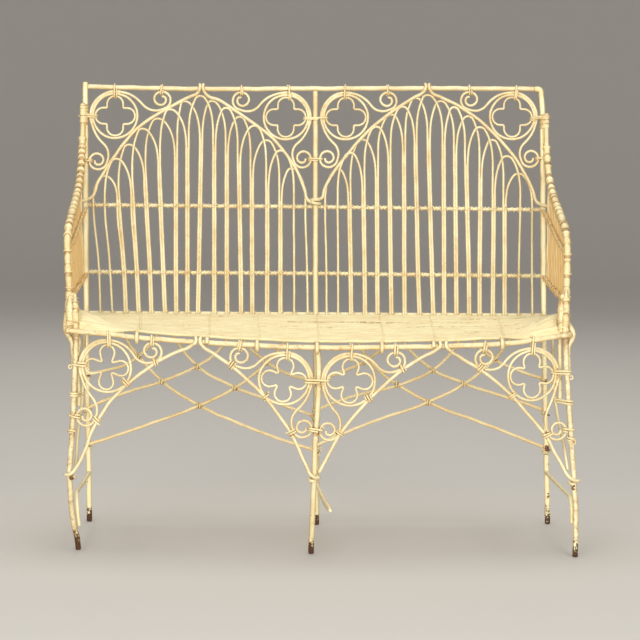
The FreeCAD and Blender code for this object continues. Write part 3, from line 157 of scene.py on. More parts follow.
# ---------------------------------------------------------------- small vector kit
def add(a, b): return (a[0] + b[0], a[1] + b[1], a[2] + b[2])
def sub(a, b): return (a[0] - b[0], a[1] - b[1], a[2] - b[2])
def mul(a, k): return (a[0] * k, a[1] * k, a[2] * k)
def dot(a, b): return a[0] * b[0] + a[1] * b[1] + a[2] * b[2]
def cross(a, b): return (a[1] * b[2] - a[2] * b[1], a[2] * b[0] - a[0] * b[2], a[0] * b[1] - a[1] * b[0])
def norm(a): return math.sqrt(dot(a, a))
def unit(a): return mul(a, 1.0 / norm(a))
def lerp(a, b, t): return add(mul(a, 1 - t), mul(b, t))


# ---------------------------------------------------------------- paths of straight runs and arcs
def arc_from(p, t, q):
    """Arc that leaves p along t and ends in q, or a straight run."""
    c = sub(q, p)
    L = norm(c)
    u = mul(c, 1 / L)
    n = sub(t, mul(u, dot(t, u)))
    s = norm(n)
    if s < 1e-5:
        return ("L", p, q)
    phi = math.atan2(s, dot(t, u))
    m = add(lerp(p, q, 0.5), mul(n, L / 2 * math.tan(phi / 2) / s))
    return ("A", p, m, q)


def biarc(p, t, q, s):
    """Two tangent arcs from p along t to q along s."""
    v = sub(q, p)
    w = add(t, s)
    k = 2 * (1 - dot(t, s))
    vw = dot(v, w)
    if k < 1e-9:
        d = dot(v, v) / (2 * vw)
    else:
        d = (-vw + math.sqrt(vw * vw + k * dot(v, v))) / k
    m = mul(add(add(p, mul(t, d)), sub(q, mul(s, d))), 0.5)
    a = arc_from(p, t, m)
    b = arc_from(q, mul(s, -1), m)
    b = ("L", m, q) if b[0] == "L" else ("A", m, b[2], q)
    return [a, b]


def tangents(pts, t0=None, t1=None, closed=False):
    n = len(pts)
    T = []
    for i in range(n):
        if closed or 0 < i < n - 1:
            a = sub(pts[i], pts[i - 1])
            b = sub(pts[(i + 1) % n], pts[i])
            la, lb = norm(a), norm(b)
            T.append(unit(add(mul(a, lb / la), mul(b, la / lb))))
        else:
            T.append(None)
    if not closed:
        if t0 is None:
            u = unit(sub(pts[1], pts[0]))
            r = T[1] if n > 2 else u
            t0 = sub(mul(u, 2 * dot(u, r)), r)
        if t1 is None:
            u = unit(sub(pts[-1], pts[-2]))
            r = T[-2] if n > 2 else u
            t1 = sub(mul(u, 2 * dot(u, r)), r)
        T[0], T[-1] = unit(t0), unit(t1)
    return T


def smooth(pts, t0=None, t1=None):
    """Smooth run through the points, as tangent arcs."""
    T = tangents(pts, t0, t1)
    path = []
    for i in range(len(pts) - 1):
        path += biarc(pts[i], T[i], pts[i + 1], T[i + 1])
    return path


def bent(pts, radii, closed=False):
    """Straight runs with a rounded bend at each inner point."""
    n = len(pts)
    path = []
    idx = range(n) if closed else range(1, n - 1)
    cuts = {}
    for j, i in enumerate(idx):
        p, a, b = pts[i], pts[i - 1], pts[(i + 1) % n]
        u, v = unit(sub(p, a)), unit(sub(b, p))
        turn = math.acos(max(-1, min(1, dot(u, v))))
        r = radii[j] if isinstance(radii, (list, tuple)) else radii
        d = r * math.tan(turn / 2)
        if turn < 1e-4:
            cuts[i] = (p, None, p)
            continue
        s, e = sub(p, mul(u, d)), add(p, mul(v, d))
        c = unit(sub(v, u))
        m = add(p, mul(c, r / math.cos(turn / 2) - r))
        cuts[i] = (s, m, e)
    order = list(range(n))
    last = cuts[0][2] if closed else pts[0]
    for i in order[1:] + ([0] if closed else []):
        if i in cuts:
            s, m, e = cuts[i]
            if norm(sub(s, last)) > 1e-6:
                path.append(("L", last, s))
            if m is not None:
                path.append(("A", s, m, e))
            last = e
        else:
            path.append(("L", last, pts[i]))
            last = pts[i]
    return path


def arc_circle(seg):
    """Centre, axis and angle of an arc segment."""
    p, m, q = seg[1], seg[2], seg[3]
    a, b = sub(m, p), sub(q, p)
    ax = cross(a, b)
    k = dot(ax, ax)
    c = add(p, mul(add(mul(cross(ax, a), dot(b, b)), mul(cross(b, ax), dot(a, a))), 0.5 / k))
    n = unit(ax)
    u, v = sub(p, c), sub(q, c)
    ang = math.atan2(dot(cross(u, v), n), dot(u, v))
    if ang < 0:
        ang += 2 * math.pi
    return c, n, ang


def rot(v, n, a):
    return add(add(mul(v, math.cos(a)), mul(cross(n, v), math.sin(a))), mul(n, dot(n, v) * (1 - math.cos(a))))


def seg_length(s):
    if s[0] == "L":
        return norm(sub(s[2], s[1]))
    c, n, a = arc_circle(s)
    return a * norm(sub(s[1], c))


def path_length(path): return sum(seg_length(s) for s in path)


def start_dir(path):
    s = path[0]
    if s[0] == "L":
        return unit(sub(s[2], s[1]))
    c, n, a = arc_circle(s)
    return unit(cross(n, sub(s[1], c)))


def at(path, d):
    """Point and direction at distance d along the path."""
    for s in path:
        L = seg_length(s)
        if d <= L + 1e-9 or s is path[-1]:
            if s[0] == "L":
                u = unit(sub(s[2], s[1]))
                return add(s[1], mul(u, d)), u
            c, n, a = arc_circle(s)
            w = rot(sub(s[1], c), n, a * d / L)
            return add(c, w), unit(cross(n, w))
        d -= L


def stadium(P, u, v, a, b):
    """Closed loop of wire round a bundle: half length a along u, half width b along v."""
    a = max(a, b + 0.05)
    h = mul(u, a - b)
    p1, p2 = add(add(P, h), mul(v, b)), sub(add(P, h), mul(v, b))
    p3, p4 = sub(sub(P, h), mul(v, b)), add(sub(P, h), mul(v, b))
    return [("A", p1, add(P, mul(u, a)), p2), ("L", p2, p3), ("A", p3, sub(P, mul(u, a)), p4), ("L", p4, p1)]


def hoop(P, axis, R):
    """Closed circle of wire round one rod."""
    u = unit(cross(axis, (0.0, 0.0, 1.0) if abs(axis[2]) < 0.9 else (1.0, 0.0, 0.0)))
    v = unit(cross(axis, u))
    a, b = add(P, mul(u, R)), sub(P, mul(u, R))
    return [("A", a, add(P, mul(v, R)), b), ("A", b, sub(P, mul(v, R)), a)]


# ---------------------------------------------------------------- the three surfaces of the bench
def back_y(z): return SEAT_BACK_Y + (z - SEAT_BACK_Z) * RAKE
def B(x, z, n=0.0): return (x, back_y(z) - n, z)


def front_y(x, z): return FRONT_Y - (BOW_FLOOR + (BOW_SEAT - BOW_FLOOR) * z / 430.0) * (1 - (x / HALF_W) ** 2)
def A(x, z, n=0.0): return (x, front_y(x, z) - n, z)


def L3(x, z, n=0.0): return (x, SEAT_BACK_Y + (440.0 - z) * BACK_LEG_SPLAY - n, z)


X1, Y1, Z1 = (1.0, 0.0, 0.0), (0.0, 1.0, 0.0), (0.0, 0.0, 1.0)


def along(table, x):
    """Height of a tabled line at x."""
    for (xa, za), (xb, zb) in zip(table, table[1:]):
        if x <= xb:
            return za + (zb - za) * (x - xa) / (xb - xa)
    return zb


def rail_z(levels, x):
    if x < 0:
        return levels[1] + (levels[0] - levels[1]) * (-x / 480.0)
    return levels[1] + (levels[2] - levels[1]) * (x / 480.0)


PARTS = {}


def rod(node, path, d, closed=False):
    PARTS.setdefault(node, []).append((path, d / 2.0, closed))


def tie(node, P, u, v, a, b, d=WIRE_D):
    rod(node, stadium(P, unit(u), unit(v), a + d / 2, b + d / 2), d, True)

def hermite(pts, T):
    """Smooth run through the points; a direction given as None follows the neighbours."""
    auto = tangents(pts, T[0], T[-1])
    T = [unit(t) if t else a for t, a in zip(T, auto)]
    path = []
    for i in range(len(pts) - 1):
        path += biarc(pts[i], T[i], pts[i + 1], T[i + 1])
    return path


# ---------------------------------------------------------------- frame of the back
POST_L = [(-481.6, 210.2, 0.0), (-481.6, 210.2, 14.0), (-486.9, 189.9, 452.0), (-493.0, 240.9, 939.0)]
POST_R = [(502.2, 204.1, 0.0), (502.2, 204.1, 14.0), (486.6, 189.7, 451.0), (483.0, 234.7, 880.0), (479.4, 240.0, 930.9), (466.0, 240.0, 931.1)]
POST_C = [(5.4, 178.0, 0.0), (5.4, 178.0, 14.0), (0.5, 190.0, 452.0), (-2.6, 239.4, 923.6)]


def post_x(post, z):
    """X of a rear post at height z."""
    for p, q in zip(post, post[1:]):
        if p[2] <= z <= q[2]:
            return p[0] + (q[0] - p[0]) * (z - p[2]) / (q[2] - p[2])
    return post[-1][0]


def post_y(post, z):
    for p, q in zip(post, post[1:]):
        if p[2] <= z <= q[2]:
            return p[1] + (q[1] - p[1]) * (z - p[2]) / (q[2] - p[2])
    return post[-1][1]


rod("left_rear_post", bent(POST_L, [150, 500]), POST_D)
rod("right_rear_post", bent(POST_R, [150, 500, 200, 6.4]), POST_D)
rod("centre_rear_post", bent(POST_C, [150, 500]), POST_D)
TOP_RAIL = [(-487.2, 929.8), (-259.0, 926.2), (7.0, 928.8), (300.0, 931.2), (466.0, 931.1)]
rod("top_rail", smooth([B(x, z) for x, z in TOP_RAIL]), TOP_RAIL_D)
MID_X = [(-490.0, -9.5), (-456.0, -6.3), (-425.0, -6.1), (-250.0, -6.1), (-75.0, -6.1), (-42.0, -6.3), (-11.0, -9.5), (11.0, -9.5), (42.0, -6.3),
         (75.0, -6.1), (250.0, -6.1), (420.0, -6.1), (452.0, -6.3), (486.0, -9.5)]
rod("upper_back_rail", smooth([B(x, rail_z(UPPER_Z, x), n) for x, n in MID_X]), MID_RAIL_D)
rod("lower_back_rail", smooth([B(x, rail_z(LOWER_Z, x), n) for x, n in MID_X]), MID_RAIL_D)
rod("rear_seat_rail", smooth([(x, 190.8 - n, 449.0) for x, n in MID_X]), SEAT_FRAME_D)

# ---------------------------------------------------------------- interlaced lancets of the back
LANCET_PAIR = 2.55     # the two rods of a pair lie side by side
LANCET_LAYER = 5.2     # even lancets lie in front of odd ones
LANCET_FOOT_Z = 447.0


def lancet(side, k):
    U, W, S, apex = (BARS_L_U, BARS_L_W, BARS_L_S, APEX_L) if side == "L" else (BARS_R_U, BARS_R_W, BARS_R_S, APEX_R)
    n = 0.0 if k % 2 else LANCET_LAYER
    xa, za = apex[k - 1]
    limbs = []
    for i, off in ((k - 1, LANCET_PAIR), (k + 1, -LANCET_PAIR)):
        off = off if 2 <= i <= 14 else 0.0
        xs, xw, xu = S[i] + off, W[i] + off, U[i] + off
        zw, zu = rail_z(LOWER_Z, xw), rail_z(UPPER_Z, xu)
        h = min(80.0, za - zu - 12.0)
        zt = za - h
        xt = xu + (xu - xw) * (zt - zu) / (zu - zw) * 0.8
        c, s = math.cos(math.radians(50)), math.sin(math.radians(50))
        a = xa - xt
        pts = [B(xs, LANCET_FOOT_Z, n), B(xw, zw, n), B(xu, zu, n), B(xt, zt, n), B(xt + a * (1 - c), zt + h * s, n)]
        if zt - zu < 40:
            del pts[2]
        T = [None] * (len(pts) - 2) + [(0.0, RAKE, 1.0), (a * s, RAKE * h * c, h * c)]
        limbs.append((pts, T))
    (p, tp), (q, tq) = limbs
    pts = p + [B(xa, za, n)] + q[::-1]
    T = tp + [X1] + [None if t is None else mul(t, -1) for t in tq[::-1]]
    return hermite(pts, T)


for side, name in (("L", "left"), ("R", "right")):
    for k in range(1, 16):
        rod("%s_lancets_%s" % (name, "rear" if k % 2 else "front"), lancet(side, k), LANCET_D)

# ---------------------------------------------------------------- ribs of the back, hooked over the top rail and round the posts
RIB_N = 2.6
HOOK = TOP_RAIL_D / 2 + RIB_D / 2 + 0.3
WRAP = POST_D / 2 + RIB_D / 2 + 0.3


def rail_hook(x):
    z = along(TOP_RAIL, x)
    return [B(x, z + 0.5, HOOK), B(x, z + HOOK, 0.0), B(x, z - 1.0, -HOOK)]


def post_wrap(post, z, side):
    """Quarter by quarter round a post, from the front to the far side and behind; side is where it goes round."""
    x, y = post_x(post, z), post_y(post, z)
    return [(x, y - WRAP, z), (x + side * WRAP, y, z - 1.0), (x - side * 1.0, y + WRAP, z - 1.5)]


rod("back_rib_1", smooth(post_wrap(POST_L, 688.0, -1)[::-1] + [B(x, z, RIB_N) for x, z in RIB_1[:-1]] + [B(*RIB_1[-1], 6.0)] + rail_hook(-249.0)), RIB_D)
rod("back_rib_2", smooth(rail_hook(-241.5)[::-1] + [B(*RIB_2[0], 6.0)] + [B(x, z, RIB_N) for x, z in RIB_2[1:]] + post_wrap(POST_C, 684.8, 1)), RIB_D)
rod("back_rib_3", smooth(post_wrap(POST_C, 692.6, -1)[::-1] + [B(x, z, RIB_N) for x, z in RIB_3[:-1]] + [B(*RIB_3[-1], 6.0)] + rail_hook(232.3)), RIB_D)
rod("back_rib_4", smooth(rail_hook(240.6)[::-1] + [B(*RIB_4[0], 6.0)] + [B(x, z, RIB_N) for x, z in RIB_4[1:]] + post_wrap(POST_R, 683.2, 1)), RIB_D)


# ---------------------------------------------------------------- rings, quatrefoils and scrolls
def plane_back(x, z, n):
    return B(x, z, n), X1, unit((0.0, RAKE, 1.0))


def plane_apron(x, z, n):
    d = 1.0
    e1 = unit(sub(A(x + d, z, n), A(x - d, z, n)))
    e2 = sub(A(x, z + d, n), A(x, z - d, n))
    e2 = unit(sub(e2, mul(e1, dot(e1, e2))))
    return A(x, z, n), e1, e2


def place(frame, u, w):
    C, e1, e2 = frame
    return add(C, add(mul(e1, u), mul(e2, w)))


def ring(frame, R):
    p = [place(frame, R * math.cos(t), R * math.sin(t)) for t in (0, math.pi / 2, math.pi, 1.5 * math.pi)]
    return [("A", p[0], p[1], p[2]), ("A", p[2], p[3], p[0])]


def quatrefoil(frame, tip, r, k, rf=2.7, turn=0.0):
    """Four round lobes that reach out to tip, with cusps at (k, k), the whole turned a little in its plane."""
    ct, st = math.cos(math.radians(turn)), math.sin(math.radians(turn))
    d = tip - r
    vx, vy = k, k - d
    D = math.hypot(vx, vy)
    a = math.atan2(vy, vx) + math.acos(r / D)
    qx, qy = r * math.cos(a), d + r * math.sin(a)
    dx, dy = k - qx, k - qy
    L = math.hypot(dx, dy)
    dx, dy = dx / L, dy / L
    # direction into the cusp is (dx, dy); out of it is the same line mirrored in the diagonal
    ox, oy = -dy, -dx
    bend = math.acos(max(-1, min(1, dx * ox + dy * oy)))
    t = rf * math.tan(bend / 2)
    s, e = (k - dx * t, k - dy * t), (k + ox * t, k + oy * t)
    m = rf / math.cos(bend / 2) - rf
    m = (k + m / math.sqrt(2), k + m / math.sqrt(2))
    path = []
    spin = lambda p: (p[0] * ct - p[1] * st, p[0] * st + p[1] * ct)
    R4 = lambda p, i: place(frame, *spin([(p[0], p[1]), (p[1], -p[0]), (-p[0], -p[1]), (-p[1], p[0])][i]))
    for i in range(4):
        path += [("A", R4((-qx, qy), i), R4((0.0, tip), i), R4((qx, qy), i)),
                 ("L", R4((qx, qy), i), R4(s, i)), ("A", R4(s, i), R4(m, i), R4(e, i)),
                 ("L", R4(e, i), R4((-qx, qy), (i + 1) % 4))]
    return path


RAIL_SPIRAL = [22.6, 18.6, 15.2, 15.6, 13.0, 8.8, 4.6]
POST_SPIRAL = [21.6, 19.2, 16.4, 14.6, 12.6, 9.0, 4.6]


def volute(cx, cz, radii, start, sense, turns):
    pts = []
    steps = int(turns * 8 + 0.5)
    for j in range(steps + 1):
        q = j / 2.0
        i = min(int(q), len(radii) - 2)
        r = radii[i] + (radii[i + 1] - radii[i]) * (q - i)
        a = math.radians(start + sense * 45 * j)
        pts.append((cx + r * math.cos(a), cz + r * math.sin(a)))
    return pts


def scroll(chart, c, R, rail_c, post_c, sx, n, scale=1.0):
    """One rod: a volute beside the post, a hug round the outer quarter of the ring, a volute under the rail."""
    Rh = R + RING_D
    rc = (sx * (rail_c[0] - c[0]), rail_c[1] - c[1])
    pc = (sx * (post_c[0] - c[0]), post_c[1] - c[1])
    top = volute(rc[0], rc[1], [v * scale for v in RAIL_SPIRAL], 270, 1, 1.5)
    low = volute(pc[0], pc[1], [v * scale for v in POST_SPIRAL], 0, -1, 1.5)
    hug = [(Rh * math.cos(math.radians(a)), Rh * math.sin(math.radians(a))) for a in range(206, 71, -19)]
    to3 = lambda p: chart(c[0] + sx * p[0], c[1] + p[1], n)
    return smooth([to3(p) for p in low[::-1] + hug + top])


for i, c in enumerate(BACK_RINGS):
    f = plane_back(c[0], c[1], RIB_N)
    sx = 1 if i % 2 == 0 else -1
    rod("back_rings", ring(f, BACK_RING_R), RING_D, True)
    rod("back_quatrefoils", quatrefoil(f, BACK_RING_R - RING_D / 2 - FOIL_D / 2, 17.2, 17.2), FOIL_D, True)
    rod("back_scrolls", scroll(B, c, BACK_RING_R, BACK_VOL_RAIL[i], BACK_VOL_POST[i], sx, RIB_N), RING_D)

APRON_N = 0.0
APRON_FOIL = [(14.8, 9.0, -2.9), (16.2, 10.5, -5.0), (16.0, 10.5, -1.6), (17.2, 14.0, 2.0)]    # lobe radius, cusp, turn
for i, c in enumerate(APRON_RINGS):
    f = plane_apron(c[0], c[1], APRON_N)
    sx = 1 if i % 2 == 0 else -1
    rod("apron_rings", ring(f, APRON_RING_R), RING_D, True)
    rod("apron_quatrefoils", quatrefoil(f, APRON_RING_R - RING_D / 2 - FOIL_D / 2, APRON_FOIL[i][0], APRON_FOIL[i][1], 2.6, APRON_FOIL[i][2]), FOIL_D, True)
    rod("apron_scrolls", scroll(A, c, APRON_RING_R, APRON_VOL_RAIL[i], APRON_VOL_POST[i], sx, APRON_N), RING_D)

# ---------------------------------------------------------------- front legs
LEG_L = [(-480.5, -198.5, 515.0), (-479.4, -199.0, 470.0), (-478.6, -199.5, 424.0), (-481.2, -200.0, 345.0), (-485.8, -200.5, 245.0), (-491.0, -198.0, 146.0), (-489.5, -192.0, 105.0), (-484.0, -179.0, 52.0), (-477.0, -166.5, 10.0), (-476.4, -165.8, 0.0)]
LEG_R = [(491.3, -199.0, 530.0), (490.4, -199.3, 470.0), (490.8, -199.6, 421.0), (495.6, -200.6, 345.0), (502.2, -201.0, 261.0), (511.0, -204.0, 150.0), (514.0, -213.0, 85.0), (512.6, -228.4, 10.0), (512.2, -230.0, 0.0)]
LEG_C = [(-1.5, -263.0, 414.0), (0.4, -263.0, 381.0), (-5.0, -245.0, 215.0), (-6.6, -236.0, 152.0), (-10.0, -212.0, 40.0), (-11.1, -205.0, 8.0), (-11.1, -204.4, 0.0)]
DOWN = (0.0, 0.0, -1.0)
rod("front_left_leg", smooth(LEG_L, None, DOWN), LEG_D)
rod("front_right_leg", smooth(LEG_R, None, DOWN), LEG_D)
rod("front_centre_leg", smooth(LEG_C, None, DOWN), LEG_D)


def near(points, z):
    for p, q in zip(points, points[1:]):
        if min(p[2], q[2]) <= z <= max(p[2], q[2]):
            t = (z - p[2]) / (q[2] - p[2])
            return lerp(p, q, t)
    return points[-1]


# ---------------------------------------------------------------- bowed front rail, cut off square just past the corner legs
RAIL_PTS = [A(x, z) for x, z in FRONT_RAIL]
LH = [(-498.0, -209.8, 442.9), (-484.0, -211.0, 441.8)]
RH = [(484.0, -210.8, 437.6), (502.4, -210.0, 439.6)]
rod("front_rail", smooth(LH + RAIL_PTS[1:-1] + RH), FRONT_RAIL_D)

# ---------------------------------------------------------------- ribs of the apron
LEGWRAP = LEG_D / 2 + RIB_D / 2 + 0.4
FHOOK = FRONT_RAIL_D / 2 + RIB_D / 2 + 0.4


def front_hook(x):
    z = along(FRONT_RAIL, x)
    return [A(x, z + 0.0, FHOOK), A(x, z + FHOOK, 0.0), A(x, z + 1.0, -FHOOK)]


def leg_hook(leg, z, angles):
    """Bends round a leg through the given angles, measured from its right side towards the back, going down."""
    out = []
    for j, a in enumerate(angles):
        zz = z - j * 1.6
        c = near(leg, zz)
        out.append((c[0] + LEGWRAP * math.cos(math.radians(a)), c[1] + LEGWRAP * math.sin(math.radians(a)), zz))
    return out


def leg_wrap(leg, z, side, turns=5):
    """Winds round a leg from the front, going to the given side, one and a quarter turns downwards."""
    out = []
    for j in range(turns):
        zz = z - j * 2.0
        c = near(leg, zz)
        a = -math.pi / 2 + side * j * math.pi / 2
        out.append((c[0] + LEGWRAP * math.cos(a), c[1] + LEGWRAP * math.sin(a), zz))
    return out


rod("apron_rib_1", smooth(leg_wrap(LEG_L, 157.0, -1)[::-1] + [A(x, z) for x, z in APRON_RIB_1[1:-1]] + [A(*APRON_RIB_1[-1], 6.5)] + front_hook(-240.5)), RIB_D)
rod("apron_rib_2", smooth(front_hook(-230.5)[::-1] + [A(*APRON_RIB_2[0], 6.5)] + [A(x, z) for x, z in APRON_RIB_2[1:-1]] + leg_wrap(LEG_C, 158.5, 1)), RIB_D)
rod("apron_rib_3", smooth(leg_hook(LEG_C, 168.0, (0, 55, 110, 150))[::-1] + [A(x, z) for x, z in APRON_RIB_3[1:-1]] + [A(*APRON_RIB_3[-1], 6.5)] + front_hook(237.5)), RIB_D)
rod("apron_rib_4", smooth(front_hook(250.5)[::-1] + [A(*APRON_RIB_4[0], 6.5)] + [A(x, z) for x, z in APRON_RIB_4[1:-1]] + leg_wrap(LEG_R, 150.0, 1)), RIB_D)

# ---------------------------------------------------------------- seat
BEARER_X = [-356.0, -218.0, -120.0, -3.0, 124.0, 225.5, 362.0]
SEAT_LIFT = 11.0       # seat rods above the front rail at the front edge
SEAT_INSET = 16.0      # front seat rod behind the front rail


def seat_y(x, u): return SEAT_REAR_Y + u * (front_y(x, 430.0) + SEAT_INSET - SEAT_REAR_Y)
SEAT_RISE = [(0.0, 1.0), (0.25, 6.0), (0.5, 13.0), (0.7, 19.5), (0.84, 24.0), (0.92, 17.0), (1.0, 2.0)]   # how far the side edges stand up


def ease(t):
    t = max(0.0, min(1.0, t))
    return t * t * (3.0 - 2.0 * t)


def seat_z(x, u):
    flat = SEAT_REAR_Z + u * (along(FRONT_RAIL, max(-484.0, min(490.0, x))) + SEAT_LIFT - SEAT_REAR_Z)
    return flat + along(SEAT_RISE, max(0.0, min(1.0, u))) * ease((abs(x) - 392.0) / 92.0)


for j in range(SEAT_RODS):
    u = j / (SEAT_RODS - 1.0)
    e = 484.0 - 14.0 * ease((u - 0.8) / 0.2)     # the front rods stop at the corner legs
    xs = [-e, -463.0, -440.0, -416.0, -392.0, -290.0, -145.0, 0.0, 145.0, 290.0, 392.0, 416.0, 440.0, 463.0, e]
    rod("seat_rods", smooth([(x, seat_y(x, u), seat_z(x, u)) for x in xs]), SEAT_ROD_D)

def bearer_x(x, u):
    """The bearers spread a little from the front rail (u = 1) to the rear one (u = 0)."""
    return x * (1.0 + 0.055 * (1.0 - u))


for x in BEARER_X:
    zr = along(FRONT_RAIL, x)
    yr = front_y(x, zr)
    drop = BEARER_D / 2 + SEAT_ROD_D / 2
    h = FRONT_RAIL_D / 2 + BEARER_D / 2 + 0.3
    P = [(bearer_x(x, 0.0), 181.0 if abs(x) < 10.0 else 201.0, SEAT_REAR_Z - drop)]
    P += [(bearer_x(x, u), seat_y(bearer_x(x, u), u), seat_z(bearer_x(x, u), u) - drop) for u in (0.05, 0.5, 0.9, 0.985)]
    P += [(x, yr + 2.5, zr + h - 0.6), (x, yr - h, zr - 1.0)]
    if x not in (-218.0, 225.5):      # beside the rib ends there is no room for the full hook
        P.append((x, yr - 1.0, zr - h))
    rod("seat_bearers", smooth(P), BEARER_D)
    top = SEAT_ROD_D / 2 + WIRE_D / 2 + 0.1
    rod("seat_binding_wires", smooth([(bearer_x(x, u) + 5.0, seat_y(bearer_x(x, u), u), seat_z(bearer_x(x, u), u) + top) for u in (-0.01, 0.3, 0.7, 1.005)]), WIRE_D)

for name, s in (("left", -1.0), ("right", 1.0)):
    under = SEAT_ROD_D / 2 + SEAT_FRAME_D / 2 + 0.3
    edge = [(s * x, seat_y(s * x, u), seat_z(s * x, u) - under) for x, u in ((479.0, 0.07), (475.0, 0.3), (473.5, 0.55), (472.0, 0.8), (469.5, 0.9), (467.0, 0.965))]
    rod("%s_seat_rail" % name, smooth([(s * 484.5, 181.0, 439.5)] + edge), SEAT_FRAME_D)

# ---------------------------------------------------------------- arms and side panels
ARM_PROFILE = [(225.2, 893.0), (220.5, 840.0), (211.0, 798.0), (193.0, 766.0), (158.0, 737.0), (110.0, 714.0), (50.0, 694.5), (-25.0, 675.5),
               (-98.0, 656.0), (-150.0, 638.0), (-181.0, 611.0), (-190.0, 572.0), (-188.5, 520.0)]
ARM_X_L = [(484.0, -495.0), (520.0, -493.0), (560.0, -494.5), (600.0, -497.0), (640.0, -498.0), (700.0, -498.2), (800.0, -497.4), (900.0, -496.9)]
ARM_X_R = [(480.0, 493.0), (520.0, 492.5), (560.0, 493.0), (600.0, 493.5), (640.0, 494.5), (700.0, 493.5), (800.0, 491.0), (900.0, 489.5)]
# below the seat each arm swings out past the end of the front rail and comes down behind the leg
ARM_END_L = [(-495.0, -188.5, 484.0), (-497.6, -189.8, 462.0), (-500.0, -192.0, 445.0), (-497.0, -192.0, 428.0), (-490.2, -190.5, 413.0), (-487.2, -189.4, 397.0), (-487.0, -189.0, 366.0)]
ARM_END_R = [(493.0, -188.5, 480.0), (494.6, -189.0, 464.0), (501.0, -190.5, 453.5), (506.6, -192.5, 441.5), (504.0, -192.5, 428.5), (498.6, -191.0, 417.0), (497.6, -189.6, 400.0), (499.0, -189.2, 356.0)]
ARM_TAIL_L = [(-483.4, -184.8, 494.0), (-483.2, -184.8, 460.0), (-477.6, -184.6, 400.0), (-476.6, -186.0, 345.0), (-475.6, -187.0, 290.0)]
ARM_TAIL_R = [(481.6, -187.0, 494.0), (481.0, -187.0, 460.0), (481.4, -187.0, 400.0), (482.0, -187.0, 345.0), (482.4, -187.2, 301.0)]
ARM_PATH = {}
for name, tab, end, tail in (("left", ARM_X_L, ARM_END_L, ARM_TAIL_L), ("right", ARM_X_R, ARM_END_R, ARM_TAIL_R)):
    top = ARM_PROFILE if name == "left" else [(224.1, 879.5)] + ARM_PROFILE[1:]
    ARM_PATH[name] = smooth([(along(tab, z), y, z) for y, z in top] + end, None, DOWN)
    rod("%s_arm" % name, ARM_PATH[name], ARM_D)
    rod("%s_arm" % name, smooth(tail, None, DOWN), TAIL_D)


def arm_z(y):
    """Height of the arm above the side panel at depth y."""
    for (ya, za), (yb, zb) in zip(ARM_PROFILE, ARM_PROFILE[1:]):
        if ya >= y >= yb:
            return za + (zb - za) * (y - ya) / (yb - ya)
    return 611.0


def side_low(y): return 507.0 + (y + 190.0) / 390.0 * 26.0
def side_up(y): return 601.0 + (y + 190.0) / 395.0 * 71.0


SIDE_BARS = 12
SIDE_LOW_X = {"left": -486.6, "right": 484.6}
SIDE_UP_X = {"left": -490.0, "right": 485.6}
SIDE_RUN = {}


def run_x(run, y):
    """X of a side rail at depth y."""
    for (xa, ya), (xb, yb) in zip(run, run[1:]):
        if ya >= y >= yb:
            return xa + (xb - xa) * (y - ya) / (yb - ya)
    return run[-1][0]


for name, s, tab in (("left", -1, ARM_X_L), ("right", 1, ARM_X_R)):
    post = POST_L if s < 0 else POST_R
    xl, xu = SIDE_LOW_X[name], SIDE_UP_X[name]
    low = [(post_x(post, 533.0) - s * 1.0, post_y(post, 533.0) - POST_D / 2 - 0.3), (xl, 150.0), (xl, -20.0), (xl + s * 1.5, -140.0), (along(tab, 507.0) - s * 4.0, -181.6)]
    up = [(post_x(post, 672.0) - s * 1.0, post_y(post, 672.0) - POST_D / 2 - 0.3), (xu, 150.0), (xu, -20.0), (xu + s * 1.5, -140.0), (along(tab, 600.0) - s * 4.0, -176.5)]
    SIDE_RUN[name] = (low, up)
    rod("%s_lower_side_rail" % name, smooth([(x, y, side_low(y)) for x, y in low]), MID_RAIL_D)
    rod("%s_upper_side_rail" % name, smooth([(x, y, side_up(y)) for x, y in up]), MID_RAIL_D)
    for i in range(SIDE_BARS):
        y = 168.0 - 29.0 * i
        zl, zt = side_low(y) - 3.6, arm_z(y) - 8.8
        gap = s * (MID_RAIL_D / 2 + LANCET_D / 2 + 0.2)
        a, b = run_x(low, y) + gap, run_x(up, y) + gap
        rod("%s_side_bars" % name, smooth([(a, y, zl), (a, y, side_low(y) + 12.0), (b, y, side_up(y) - 12.0), (along(tab, zt) - s * 1.0, y, zt)]), LANCET_D)

BRACE_L = [(-470.5, -97.0, 451.5), (-471.0, -90.0, 402.0), (-473.5, -62.0, 354.0), (-476.5, -46.0, 308.0), (-477.4, -72.0, 276.0), (-478.0, -116.0, 253.0), (-478.6, -142.0, 232.0),
           (-479.2, -159.0, 205.0), (-480.4, -178.0, 169.0)]
BRACE_R = [(473.5, -92.0, 449.5), (478.0, -85.0, 415.0), (481.0, -63.0, 377.0), (484.0, -46.0, 338.0), (486.1, -48.0, 312.0), (488.5, -64.0, 281.0), (490.3, -96.0, 257.0), (492.4, -143.0, 231.0),
           (495.5, -178.0, 203.0), (499.5, -191.0, 168.0)]
rod("left_side_brace", smooth(BRACE_L), LATTICE_D)
rod("right_side_brace", smooth(BRACE_R), LATTICE_D)

